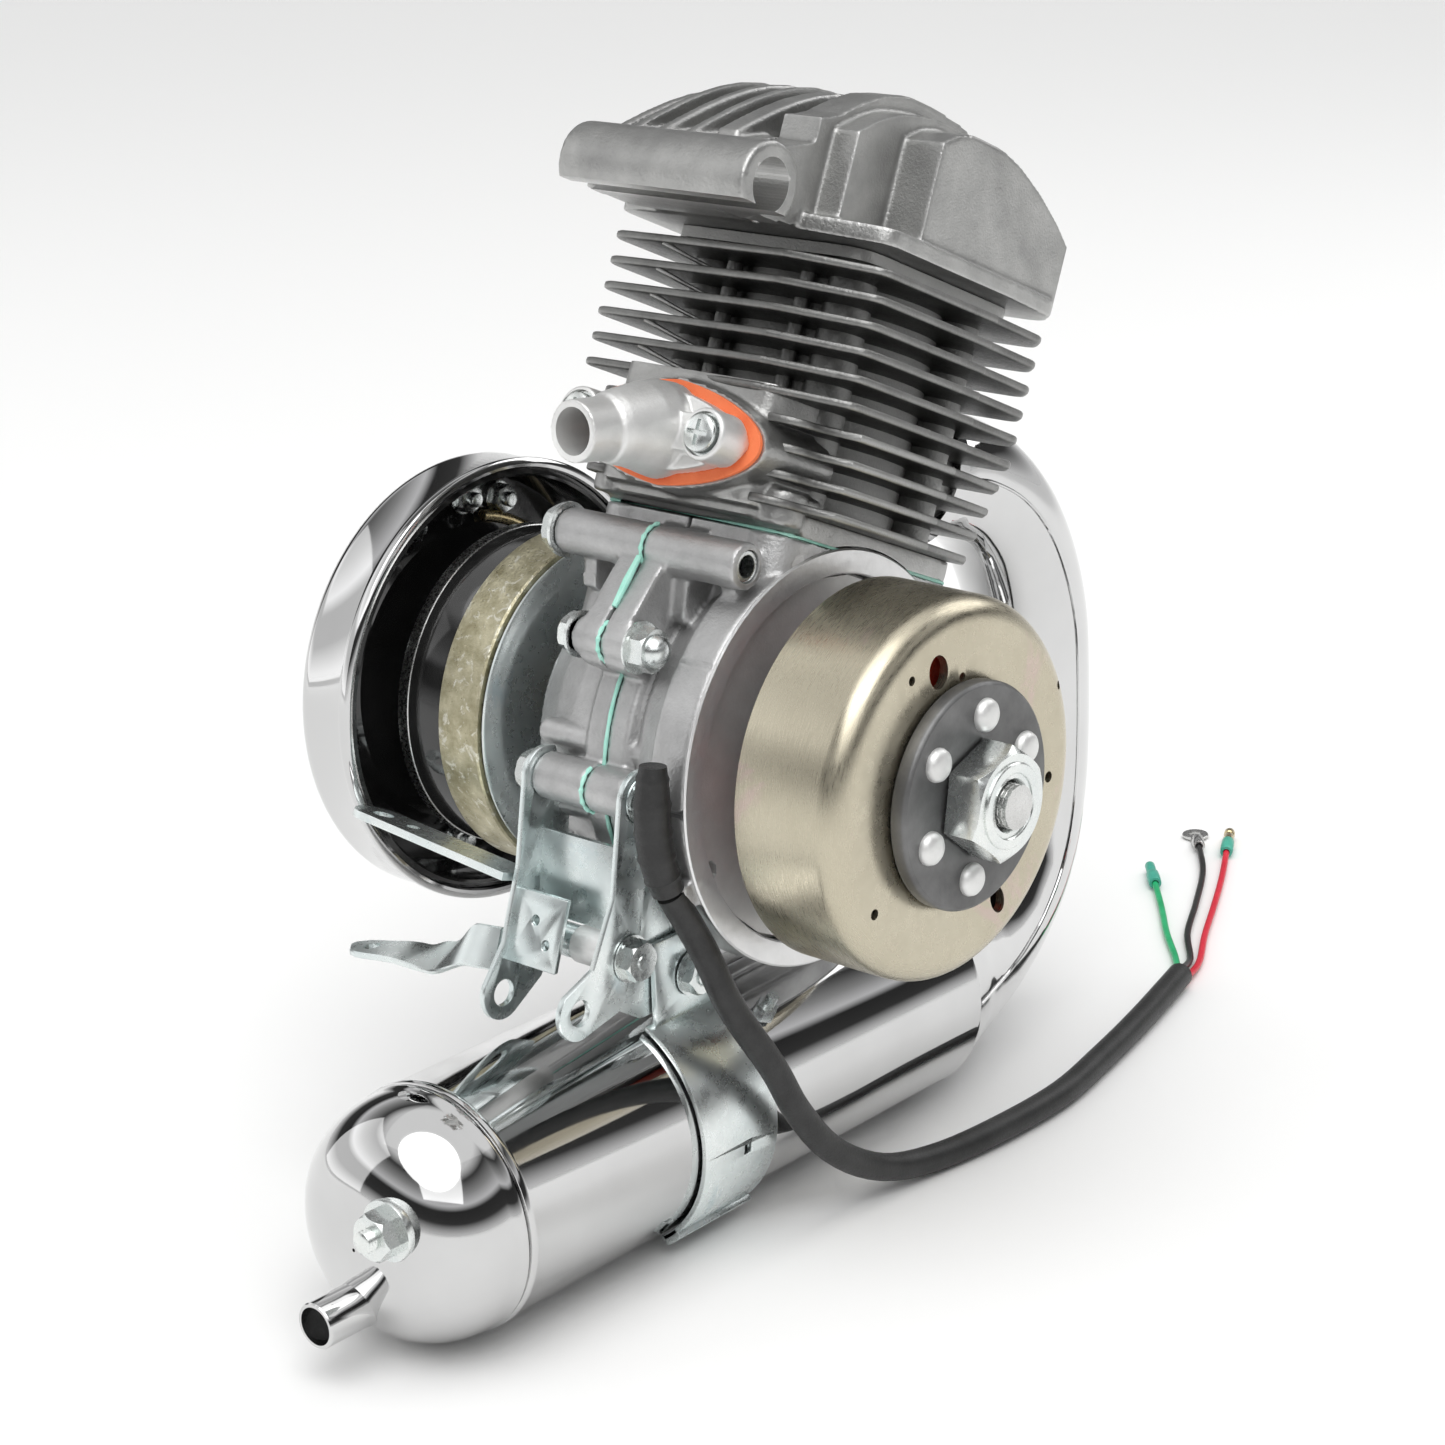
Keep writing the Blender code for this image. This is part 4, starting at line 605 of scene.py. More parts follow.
for ang in (70, 112, 86, 190, 262, 334, 22, 150):
    a = math.radians(ang)
    y, z = 51.5 * math.cos(a), 51.5 * math.sin(a)
    db.append(yz(hexa(7.5, y, z, ang), -103.6, -99.8))
    db.append(xcyl(2.2, -100.4, -97.6, y, z, 24, 0.3))
    db.append(xcyl(5.0, -104.0, -103.0, y, z, 32, 0.2))
put("drum_studs_v", bevelled(joined(*db), 0.2), ZINCN, "crank", (), "zinc_plate")
sp = []
for a0 in (28, 55):
    pts = [(-101.6, 46.0 * math.cos(math.radians(a0 + 3 * k)), 46.0 * math.sin(math.radians(a0 + 3 * k))) for k in range(9)]
    sp.append(loft(pts, [1.6] * 9, 16))
put("clutch_weights_v", joined(*sp), BRASS, "crank", (), "brass")
bl = [(12.4, -69.2), (42.6, -69.2), (43.6, -70.2), (43.6, -82.6), (44.2, -83.2), (46.0, -83.2), (46.5, -82.6), (46.5, -67.4), (46.0, -66.6), (12.4, -66.2)]
put("clutch_bell_v", moved(lathe(bl, 140, ring=True), TO_X), BLACKP, "pulley", ("clutch_bell",))
# bright steel band on the bell's far edge, standing in for the light caught on that edge: a painted highlight
bell_edge_highlight = moved(lathe([(44.3, -83.25), (46.65, -83.25), (46.75, -82.9), (46.75, -79.6), (46.5, -79.4), (44.3, -83.0)], 140, ring=True), TO_X)
put("bell_rim_v", bell_edge_highlight, STEEL, "pulley", (), "bright_steel")
bd = [(12.4, -60.0), (45.0, -60.0), (45.0, -65.9), (47.9, -65.9), (48.5, -65.3), (48.6, -60.0), (48.3, -55.0), (48.5, -51.3), (48.0, -50.7), (45.0, -50.7), (45.0, -57.0), (12.4, -57.0)]
put("pulley_band_v", moved(lathe(bd, 140, ring=True), TO_X), BAND, "pulley", ("pulley_band",))
dc = [(12.4, -50.3), (46.6, -50.3), (47.2, -49.8), (47.2, -49.1), (46.6, -48.7), (40.0, -48.2), (30.0, -47.6), (12.4, -47.4)]
put("pulley_disc_v", moved(lathe(dc, 140, ring=True), TO_X), ZINC, "pulley", ("pulley_disc",))

# ------------------------------------------------------------------ crankcase
up_y, up_z = c2e(0, -49.4, 43.9)[1:]
mid_y, mid_z = c2e(0, -58.1, 17.1)[1:]
low_y, low_z = -54.0, 0.6
bk_y, bk_z = c2e(0, 49.0, 44.0)[1:]


def cyz(points, x0, x1):
    return moved(yz(points, x0, x1), TO_CYL)


def flange(points, x0, x1, r=4):
    return cyz(round_poly(points, r, 4), x0, x1)


FRONT = [(-34, 52), (-50, 50), (-63, 20), (-60, 10), (-36, 8)]
REAR = [(36, 53), (52, 50), (55, 40), (46, 22), (30, 28)]


def half(sgn):
    s = 1 if sgn > 0 else -1

    def X(a, b):
        return (min(s * a, s * b), max(s * a, s * b))
    p = []
    p.append(moved(lathe([(0, s * 0.35), (51.5, s * 0.35), (51.5, s * 7.0), (48.5, s * 9.0), (47.0, s * 17.0), (44.0, s * 26.0), (40.0, s * 34), (0, s * 34)], 96), TO_X))
    p.append(flange(FRONT, *X(0.35, 8.0)))
    p.append(flange(REAR, *X(0.35, 8.0)))
    p.append(moved(prism(round_poly([(s * 0.35, -39), (s * 33, -39), (s * 33, 39), (s * 0.35, 39)], [0.01, 7, 7, 0.01] if s > 0 else [0.01, 7, 7, 0.01], 6), 20, 54.6), TO_CYL))
    p.append(xcyl(6.3, *X(0.35, 31.8), up_y, up_z, 48, 0.5))
    p.append(xcyl(5.4, *X(0.35, 10.0), mid_y, mid_z, 48, 0.5))
    p.append(xcyl(6.4, *X(0.35, 13.4 if s > 0 else 18.4), low_y, low_z, 48, 0.5))
    p.append(xcyl(6.3, *X(0.35, 19.4), bk_y, bk_z, 40, 0.5))
    # ribs running out from the case to the bosses
    for ang in (168, 192, 214, 236):
        a = math.radians(ang)
        y, z = 47.0 * math.cos(a), 47.0 * math.sin(a)
        p.append(xcyl(3.6, *X(0.35, 20.0 if s > 0 else 26.0), y, z, 24, 1.2))
    # webs under the upper boss
    p.append(cyz(round_poly([(-50, 46), (-36, 50), (-34, 30), (-44, 30)], 2, 3), *X(22.0, 27.0)))
    p.append(cyz(round_poly([(-50, 40), (-36, 46), (-34, 26), (-47, 26)], 2, 3), *X(9.0, 13.0)))
    # columns under the stud holes
    for yy in (-24.5, 24.5):
        p.append(moved(zcyl(8.6, 18.0, 54.6, s * 25.0, yy * 1.28, 40, 0.6), TO_CYL))
    return p


mouth = moved(lathe([(0, 36), (24.6, 36), (24.6, 80), (0, 80)], 64), TO_CYL)
chamber = moved(lathe([(0, -17.2), (38.3, -17.2), (38.3, -7.0), (44.9, -7.0), (44.9, 7.0), (38.3, 7.0), (38.3, 17.2), (0, 17.2)], 72), TO_X)
rt = half(1)
rt.append(moved(lathe([(0, 10.0), (50.0, 10.0), (54.0, 19.5), (57.0, 20.5), (57.4, 22.0), (57.4, 32.6), (56.7, 33.3), (0, 33.3)], 160), TO_X))
rt.append(yz(round_poly([(-58, -26), (-50, -26), (-50, -19), (-58, -19)], 1.5, 4), 27.0, 32.8))
rt.append(moved(lathe([(0, 20), (24.5, 20), (24.5, 33.0), (19.0, 36.5), (0, 36.5)], 64), TO_X))
right_me = cast_skin(joined(*rt), 0.75, 3)
right_me = cut(right_me, mouth, chamber,
               moved(lathe([(24.4, 27.6), (53.4, 27.6), (53.4, 40.0), (24.4, 40.0)], 160, ring=True), TO_X),
               moved(lathe([(0, 14), (20.9, 14), (20.9, 29.9), (16.0, 29.9), (16.0, 40), (0, 40)], 48), TO_X),
               moved(lathe([(53.0, 33.22), (60.0, 33.22), (60.0, 36), (53.0, 36)], 160, ring=True), TO_X),
               shift(moved(lathe([(0, -5), (4.5, -5), (4.5, 40), (0, 40)], 40), TO_X), 0, up_y, up_z),
               shift(moved(lathe([(0, -5), (3.4, -5), (3.4, 40), (0, 40)], 32), TO_X), 0, mid_y, mid_z),
               shift(moved(lathe([(0, -5), (3.5, -5), (3.5, 40), (0, 40)], 32), TO_X), 0, low_y, low_z),
               shift(moved(lathe([(0, -5), (3.3, -5), (3.3, 40), (0, 40)], 32), TO_X), 0, bk_y, bk_z))
put("crankcase_right_v", right_me, CASE, "case", ("crankcase_right",))
lt = half(-1)
lt.append(moved(lathe([(0, -30), (37.0, -30), (36.0, -38.5), (18.0, -39.5), (0, -39.5)], 96), TO_X))
left_me = cast_skin(joined(*lt), 0.75, 3)
left_me = cut(left_me, mouth, chamber,
              moved(lathe([(0, -14), (20.9, -14), (20.9, -29.9), (16.0, -29.9), (16.0, -45), (0, -45)], 48), TO_X),
              shift(moved(lathe([(0, 5), (4.5, 5), (4.5, -40), (0, -40)], 40), TO_X), 0, up_y, up_z),
              shift(moved(lathe([(0, 5), (3.4, 5), (3.4, -40), (0, -40)], 32), TO_X), 0, mid_y, mid_z),
              shift(moved(lathe([(0, 5), (3.5, 5), (3.5, -40), (0, -40)], 32), TO_X), 0, low_y, low_z),
              shift(moved(lathe([(0, 5), (3.3, 5), (3.3, -40), (0, -40)], 32), TO_X), 0, bk_y, bk_z))
put("crankcase_left_v", left_me, CASE, "case", ("crankcase_left",))
ringv = moved(lathe([(50.6, 28.5), (53.3, 28.5), (53.4, 33.25), (57.0, 33.25), (57.4, 33.0), (57.5, 33.3), (57.0, 33.7), (51.0, 33.7), (50.6, 33.3)], 160, ring=True), TO_X)
put("housing_face_v", ringv, RING, "case", (), "machined_aluminium")
# sealant squeezed along the split line and round the cylinder base
sealp = []
for pts in (arc(0, 0, 51.7, 118, 250, 30),):
    sealp.append(loft([(0.0 + 0.12 * math.sin(7 * i), y, z) for i, (y, z) in enumerate(pts)], [0.55 + 0.15 * math.sin(3.1 * i) for i in range(len(pts))], 10))
for cy_, cz_, rr, a0, a1 in ((up_y, up_z, 6.5, 80, 215), (mid_y, mid_z, 5.6, 100, 240), (low_y, low_z, 6.6, 110, 250)):
    pts = arc(cy_, cz_, rr, a0, a1, 14)
    sealp.append(loft([(0.0, y, z) for y, z in pts], [0.55 + 0.2 * math.sin(2.3 * i) for i in range(len(pts))], 10))
f1 = [c2e(0, *p)[1:] for p in ((-55.5, 40.5), (-58.0, 33.5), (-60.5, 26.0))]
sealp.append(loft([(0.0, y, z) for y, z in f1], [0.8, 1.1, 0.8], 10))
basep = round_poly([(-32.6, -38.6), (32.6, -38.6), (32.6, 38.6), (-32.6, 38.6)], 7, 6)
bp3 = [c2e(x, y, 55.0) for x, y in basep]
bp3.append(bp3[0])
sealp.append(loft(bp3, [0.42 + 0.12 * math.sin(1.9 * i) for i in range(len(bp3))], 10))
put("crankcase_sealant_v", joined(*sealp), SEAL, "case", ("crankcase_sealant",))

# ------------------------------------------------------------------ fasteners along X
def nut_x(af, x0, x1, y, z, turn=0.0, dome=0.0, r=3.0, washer=0.0):
    m = yz(hexa(af, y, z, turn), x0, x1)
    rc = af / math.sqrt(3)
    lim = shift(moved(lathe([(0, x0 - 0.01), (rc * 0.93, x0 - 0.01), (rc * 1.02, x0 + 0.9), (rc * 1.02, x1 - 0.9), (rc * 0.9, x1 + 0.01), (0, x1 + 0.01)], 48), TO_X), 0, y, z)
    m = boolean(m, 'INTERSECT', [lim])
    out = [m]
    if dome:
        out.append(shift(moved(lathe([(0, x1 - 1)] + rnd(0, x1 - 0.6, dome, 0, 90, 8), 40), TO_X), 0, y, z))
    if washer:
        out.append(shift(moved(lathe([(0, x0 - washer), (rc * 1.12, x0 - washer), (rc * 1.12, x0 + 0.05), (0, x0 + 0.05)], 40), TO_X), 0, y, z))
    return joined(*out)


def head_x(af, x0, x1, y, z, turn=0.0, rim=True):
    m = yz(hexa(af, y, z, turn), x0, x1)
    rc = af / math.sqrt(3)
    lim = shift(moved(lathe([(0, x0 - 0.01), (rc * 0.9, x0 - 0.01), (rc * 1.02, x0 + 0.9), (rc * 1.02, x1 + 0.01), (0, x1 + 0.01)], 48), TO_X), 0, y, z)
    m = boolean(m, 'INTERSECT', [lim])
    w = shift(moved(lathe([(0, x1 - 1.0), (rc * 1.1, x1 - 1.0), (rc * 1.1, x1), (0, x1)], 40), TO_X), 0, y, z)
    return joined(m, w)


def shank(r, x0, x1, y, z):
    n = int(abs(x1 - x0) / 1.0)
    pr = [(0, x0)] + [p for k in range(n) for p in ((r, x0 + k * 1.0 + 0.1), (r - 0.35, x0 + k * 1.0 + 0.6))] + [(r * 0.7, x1), (0, x1)]
    return shift(moved(lathe(pr, 28), TO_X), 0, y, z)


put("case_bolt_front_v", joined(head_x(10, -15, -10.6, mid_y, mid_z, 20), nut_x(11.0, 10.2, 15.4, mid_y, mid_z, 22, 4.6, washer=0.6), shank(2.9, -11, 12, mid_y, mid_z)), ZINCN, "case", ("case_bolt_front",))
put("case_bolt_rear_v", joined(head_x(10, -24.2, -19.8, bk_y, bk_z, 20), nut_x(10, 20.2, 24.6, bk_y, bk_z, 20, washer=0.4), shank(2.9, -20, 26, bk_y, bk_z)), ZINCN, "case", ("case_bolt_rear",))
put("mount_bolt_v", joined(head_x(10.5, -25.4, -20.9, low_y, low_z, 8), nut_x(10, 16.4, 19.4, low_y, low_z, 8, washer=0.5), shank(3.1, -21, 19.6, low_y, low_z)), ZINCN, "case", ("mount_bolt",))
put("bracket_bolt_v", joined(head_x(10, -25.3, -20.9, -61.0, -42.0, 5), nut_x(10, 16.2, 20.4, -61.0, -42.0, 5, washer=0.4), shank(2.9, -21, 20.8, -61.0, -42.0)), ZINCN, "case", ("bracket_bolt",))
put("strap_bolt_v", joined(head_x(10, 9.4, 13.3, -39.5, -52.5, 5), nut_x(10, 18.6, 22.6, -39.5, -52.5, 5, 0, washer=0.4), shank(2.9, 13, 24.2, -39.5, -52.5)), ZINCN, "case", ("strap_bolt",))
mb = joined(head_x(12.0, -36.4, -31.9, up_y, up_z, 10), cut(xcyl(4.2, -32.0, 31.2, up_y, up_z, 48, 0.2), shift(moved(lathe([(0, 10), (3.1, 10), (3.1, 40), (0, 40)], 32), TO_X), 0, up_y, up_z)))
put("mount_bush_v", mb, ZINCN, "case", ("mount_bush",))

# ------------------------------------------------------------------ cylinder
plan = round_poly([(-46.4, -46.2), (-26.0, -48.2), (20.0, -51.0), (46.8, -42.0), (47.2, 10.5), (46.4, 11.3), (44.8, 36.0), (36.0, 46.5), (-36.0, 46.5), (-46.5, 36.0)],
                  [7, 2.5, 3, 5, 0.6, 0.6, 8, 9, 9, 8], 5)
cyl_parts = []
ftop = [127.2 - 7.1 * k for k in range(10)]


def fin(points, zt, t=2.3):
    """A fin that thins a little towards its rounded rim."""
    cx = sum(p[0] for p in points) / len(points)
    cy_ = sum(p[1] for p in points) / len(points)
    bm = bmesh.new()
    loops = []
    for off, dz in ((0.965, 0.0), (0.990, 0.12), (0.998, 0.45), (1.0, t / 2), (0.998, t - 0.45), (0.990, t - 0.12), (0.965, t)):
        loops.append([bm.verts.new(((cx + (x - cx) * off) * MM, (cy_ + (y - cy_) * off) * MM, (zt - dz) * MM)) for x, y in points])
    n = len(points)
    for a, b in zip(loops, loops[1:]):
        for j in range(n):
            bm.faces.new((a[j], a[(j + 1) % n], b[(j + 1) % n], b[j]))
    bm.faces.new(loops[0])
    bm.faces.new(loops[-1])
    return finish_bm(bm)


fins = [fin(plan, ftop[k]) for k in range(6)]
for k in range(6, 10):
    q = k - 6
    lob = [(10.0, -40.0)] + arc(28.0, -41.0, 8.0, 200, 355, 10) + [(37.5, -38.5), (46.0 - 0.8 * q, -34.0), (46.6 - 1.0 * q, 9.0), (45.8 - q, 10.0), (44.0 - q, 34.0 - q), (35.0, 45.0 - 2 * q), (-35.0, 45.0 - 2 * q), (-44.0, 34.0), (-45.0, -28.0), (-38, -34)] + arc(-28.0, -41.0, 8.0, 185, 340, 10) + [(-10.0, -40.0)]
    fins.append(fin(lob, ftop[k]))
gus = []
for k in range(5):
    z0 = ftop[k] - 2.2
    z1 = ftop[k + 1] - 0.1
    gus.append(loft([(-25.5, -46.8, z0), (-18.0, -43.0, (z0 + z1) / 2), (-10.0, -37.0, z1)], [0.75, 0.6, 0.6], 8))
cols = [zcyl(29.5, 55.2, 132.5, 0, 0, 96, 0.4)]
for sx_ in (-1, 1):
    for sy_ in (-1, 1):
        cols.append(zcyl(6.6, 56.0, 132.4, sx_ * 23.5, sy_ * 24.5, 36, 0.3))
for x in (-8, 8):
    cols.append(zcyl(2.2, 88.0, 132.0, x * 1.6, -30.5, 20, 0.3))
deckp = prism(round_poly(rect(-34, 34, -36, 36), 9, 5), 129.5, 132.5)
base = prism(round_poly([(-32.8, -38.8), (32.8, -38.8), (32.8, 38.8), (-32.8, 38.8)], 7, 6), 55.2, 61.0)
blk = []
bpts = [(33.0 * math.cos(2 * math.pi * k / 48), 74.0 + 15.0 * math.sin(2 * math.pi * k / 48) * (1 - 0.14 * abs(math.cos(2 * math.pi * k / 48)))) for k in range(48)]
blk.append(xz(bpts, -55.2, -25.0))
blk.append(moved(prism(round_poly(rect(-27, 27, -50, -20), 6, 4), 60, 92), Matrix.Identity(4)))
blk.append(prism(round_poly(rect(-31, 31, -44, -20), 8, 4), 57, 66))
for x in (-28.5, 28.5):
    blk.append(zcyl(6.6, 56.5, 66.0, x, -38.0, 32, 0.6))
body_me = cast_skin(joined(base, *blk), 0.8, 4)
ex = shift(moved(lathe([(0, 15), (19.5, 15), (19.5, 44.5), (17.2, 47.0), (0, 47.0)], 64), TO_Y), 0, 0, 84.0)
relief = moved(lathe([(0, 19.6), (58.0, 19.6), (58.0, 60), (0, 60)], 96), TO_X)
bore = zcyl(22.9, 40, 150, 0, 0, 64, 0.1)
body_me = cut(body_me, relief, bore, shift(moved(lathe([(0, -60), (8.0, -60), (8.0, -10), (0, -10)], 32), TO_Y), 0, 0, 74.0))
finset = cut(joined(*cols), zcyl(22.9, 40, 150, 0, 0, 64, 0.1))
put("cylinder_fins_v", joined(*fins, *gus), FIN, "case", ("cylinder",), frame_m=M_CYL, angle=50)
put("cylinder_barrel_v", joined(finset, cut(deckp, bore), cut(ex, bore)), FIN, "case", (), "fin_aluminium", frame_m=M_CYL)
put("cylinder_base_v", body_me, CAST, "case", (), "cast_aluminium", frame_m=M_CYL)

# ------------------------------------------------------------------ head
def crest(y):
    if y < -4:
        t = max(0.0, min(1.0, (y + 66.0) / 60.0))
        return 150.0 + 29.0 * math.sin(t * math.pi / 2)
    if y < 10:
        return 179.0 - 0.06 * (y + 4)
    return 178.2 - 15.0 * ((y - 10.0) / 36.0) ** 1.8


def crest_c(y):
    t = (y + 26.0) / 72.0
    return 164.5 + 9.5 * math.sin(max(0.0, min(1.0, t * 1.9)) * math.pi / 2) - 21.0 * max(0.0, t - 0.42) ** 1.35


def slab(y0, y1, x0, x1, top, steps=14, bottom=HEAD_Z + 1.5):
    pts = [(y0, bottom)] + [(y0 + (y1 - y0) * i / steps, top(y0 + (y1 - y0) * i / steps)) for i in range(steps + 1)] + [(y1, bottom)]
    return yz(pts, x0, x1)


hp = [prism(round_poly([(-46.8, -46.8), (20.0, -50.0), (47.0, -43.0), (47.2, 12.0), (45.0, 37.0), (36.0, 47.0), (-36.0, 47.0), (-46.8, 36.0)], [9, 3, 6, 2, 8, 9, 9, 8], 5), HEAD_Z, HEAD_Z + 4.6)]
hp.append(slab(-62, 45.5, -41.0, -6.0, lambda y: crest(y) - 8.0))
for i, x in enumerate((-40.5, -31.0, -21.5, -12.0)):
    hp.append(slab(-64.0, 45.8, x - 1.7, x + 1.7, lambda y, i=i: crest(y) - (3.0 if i == 0 else 0.0)))
hp.append(slab(-58.0, 45.8, -6.5, 0.5, lambda y: crest(y) - 1.0))
hp.append(slab(-40.0, 46.0, 0.0, 8.5, lambda y: min(crest(y) - 3.0, 160.0)))


def table(pts):
    def f(y):
        if y <= pts[0][0]:
            return pts[0][1]
        for (a, b), (c, d) in zip(pts, pts[1:]):
            if y <= c:
                t = (y - a) / (c - a)
                return b + (d - b) * t
        return pts[-1][1]
    return f


hp.append(slab(-50.5, 46.5, 8.0, 21.0, table([(-50.5, 162.5), (-44, 164.5), (-36, 170.0), (-27, 175.0), (-17, 178.0), (-5, 178.3), (10, 177.0), (25, 172.5), (46.5, 163.0)]), 24))
hp.append(slab(-44.5, 46.5, 20.5, 29.5, table([(-44.5, 161.0), (-40, 164.0), (-35.5, 167.0), (-28, 170.5), (-15, 173.2), (0, 173.2), (20, 170.0), (46.5, 160.0)]), 24))
hp.append(slab(-25.5, 46.8, 29.0, 43.0, table([(-25.5, 164.5), (-20, 168.0), (-13, 170.0), (0, 170.0), (10, 168.0), (22, 163.5), (33, 158.0), (46.8, 149.0)]), 24))
head0 = joined(*hp)
env = prism(round_poly([(-47.2, -80), (42.7, -80), (42.7, 28.0), (38.0, 47.2), (-37.0, 47.2), (-47.2, 34.0)], [0.1, 0.1, 10, 10, 9, 8], 6), 120, 200)
tube_o = xcyl(11.2, -32.4, 31.4, -76.4, 138.2, 72, 0.7)
arm1 = yz(round_poly([(-44, 134), (-73, 130.5), (-80, 140), (-66, 150), (-44, 158)], 3, 4), -30, 6)
arm2 = yz(round_poly([(-44, 134), (-73, 130.5), (-80, 140), (-66, 150), (-44, 158)], 3, 4), 8, 21)
sk = cast_skin(joined(head0, tube_o, arm1, arm2), 0.7, 4)
sk = boolean(sk, 'INTERSECT', [prism(round_poly([(-47.4, -90), (47.6, -90), (47.6, 13.0), (45.2, 37.0), (36.4, 47.4), (-36.4, 47.4), (-47.4, 36.0)], [0.1, 0.1, 2, 8, 9, 9, 8], 6), 132.3, 200)])
plug = Matrix.Translation((0.004, -0.004, 0.0))
sk = cut(sk, shift(moved(lathe([(0, -50), (7.1, -50), (7.1, 50), (0, 50)], 48), TO_X), 0, -76.4, 138.2),
         shift(lathe([(0, 132), (19.0, 132), (16.5, 141), (8.0, 146), (7.0, 147), (7.0, 190), (0, 190)], 48), 0, 0, 0) if False else
         shift(lathe([(0, 120), (19.5, 120), (19.5, 133.0), (16.5, 140), (8.0, 146), (0, 147)], 48), 0, 0, 0),
         shift(lathe([(0, 157), (6.2, 157), (6.6, 200), (0, 200)], 40), 3.6, -14.0, 0),
         *[shift(lathe([(0, 150.0), (6.4, 150.0), (6.4, 200), (0, 200)], 32), sx_ * 23.5, sy_ * 24.5, 0) for sx_, sy_ in ((-1, 1), (1, 1))])
put("cylinder_head_v", sk, CAST, "case", ("cylinder_head",), frame_m=M_CYL, angle=40)
plugm = joined(shift(lathe([(0, 150), (5.2, 150), (5.2, 163), (3.6, 165), (3.2, 170.5), (1.6, 171.5), (1.6, 174), (0, 174)], 32), 3.6, -14, 0))
put("plug_v", plugm, STEEL, "case", (), "bright_steel", frame_m=M_CYL)

# ------------------------------------------------------------------ intake
gz = 74.0
gpts = []
for k in range(72):
    t = 2 * math.pi * k / 72
    c, s_ = math.cos(t), math.sin(t)
    gpts.append((31.8 * math.copysign(abs(c) ** 0.95, c), gz + 14.2 * math.copysign(abs(s_) ** 0.95, s_) * (1 - 0.2 * abs(c))))
put("intake_gasket_v", bevelled(xz(gpts, -56.6, -55.2), 0.15, 1), GASKET, "case", ("intake_gasket",), frame_m=M_CYL)
fpts = []
for k in range(72):
    t = 2 * math.pi * k / 72
    c, s_ = math.cos(t), math.sin(t)
    fpts.append((28.6 * c, gz + 11.4 * s_ * (1 - 0.2 * abs(c))))
man = [xz(fpts, -62.0, -56.7)]
for x in (-21.8, 21.8):
    man.append(shift(moved(lathe([(0, -68.5), (6.4, -68.5), (7.0, -67.9), (7.0, -58), (0, -58)], 40), TO_Y), x, 0, gz))
man.append(loft([(0, -58, 74), (0, -64, 73.8), (0, -68, 73.0), (-0.5, -73, 71.8), (-1, -77, 70.6), (-1.4, -79, 69.9)], [13.0, 12.6, 11.8, 10.6, 9.8, 9.2], 40))
man.append(loft([(-0.8, -72, 71.9), (-1.6, -79.5, 69.7), (-2.2, -90.0, 66.5)], [8.6, 8.5, 8.2], 48))
man.append(xz(round_poly([(-24, gz - 5), (24, gz - 5), (24, gz + 5), (-24, gz + 5)], 4, 4), -66.0, -57.5))
mm_ = cast_skin(joined(*man), 0.45, 4)
mm_ = cut(mm_, loft([(0, -50, 74.2), (0, -68, 73.0), (-1, -78, 70.4), (-2.7, -98, 64.0)], [7.0, 6.6, 6.3, 6.3], 32),
          *[shift(moved(lathe([(0, -66.6), (5.9, -66.6), (5.9, -80), (0, -80)], 32), TO_Y), x, 0, gz) for x in (-21.8, 21.8)])
put("intake_manifold_v", mm_, MACH, "case", ("intake_manifold",), frame_m=M_CYL)
for nm, x in (("intake_screw_left", -21.8), ("intake_screw_right", 21.8)):
    hd = shift(moved(lathe([(0, -70.6), (3.6, -70.5), (4.9, -69.8), (5.1, -69.0), (5.1, -66.9), (0, -66.9)], 40), TO_Y), x, 0, gz)
    hd = cut(hd, prism(rect(x - 0.6, x + 0.6, -72.0, -69.2), gz - 3.4, gz + 3.4), prism(rect(x - 3.4, x + 3.4, -72.0, -69.2), gz - 0.6, gz + 0.6))
    wsh = shift(moved(lathe([(3.0, -66.95), (5.7, -66.95), (5.7, -66.5), (3.0, -66.5)], 40, ring=True), TO_Y), x, 0, gz)
    put(nm + "_v", joined(hd, wsh), ZINCN, "case", (nm,), frame_m=M_CYL)

# ------------------------------------------------------------------ exhaust
py, pz = c2e(0, 47.2, 84.0)[1:]
route = [(py, pz), (88.0, 56.0), (98.0, 53.0), (112.0, 45.0), (124.0, 33.0), (132.5, 18.0), (137.5, 2.0), (139.0, -14.0), (139.0, -38.0),
         (137.0, -57.0), (131.0, -73.0), (120.0, -85.0), (108.0, -91.5), (96.0, -94.6), (84.0, -95.5), (76.0, -95.5), (MUF_Y1 + 0.3, MUF_Z)]
rads = [16.8, 18.3, 18.3, 18.3, 18.3, 18.3, 18.3, 18.3, 18.3, 18.3, 19.0, 20.6, 22.8, 25.6, 29.0, 31.6, 33.9]
fine, frad = [], []
P = [Vector((0, y, z)) for y, z in route]
ext = [P[0] * 2 - P[1]] + P + [P[-1] * 2 - P[-2]]
rex = [rads[0]] + rads + [rads[-1]]
for i in range(1, len(ext) - 2):
    for k in range(5):
        t = k / 5
        p0, p1, p2, p3 = ext[i - 1:i + 3]
        fine.append(0.5 * ((2 * p1) + (p2 - p0) * t + (2 * p0 - 5 * p1 + 4 * p2 - p3) * t * t + (3 * p1 - p0 - 3 * p2 + p3) * t ** 3))
        frad.append(rex[i] * (1 - t) + rex[i + 1] * t)
fine.append(P[-1]); frad.append(rads[-1])
pipe = loft(fine, frad, 72, wall=1.3)
seams = []
for sgn in (1, -1):
    pts = [Vector((p.x + sgn * (r + 0.1), p.y, p.z)) for p, r in zip(fine[4:], frad[4:])]
    seams.append(loft(pts, [0.5] * len(pts), 8))
coll2 = []
for pos in (6, 9):
    a, b = fine[pos], fine[pos + 1]
    coll2.append(loft([a, a.lerp(b, 0.4), a.lerp(b, 0.6), b], [frad[pos] + 0.1, frad[pos] + 0.9, frad[pos] + 0.9, frad[pos] + 0.1], 72))
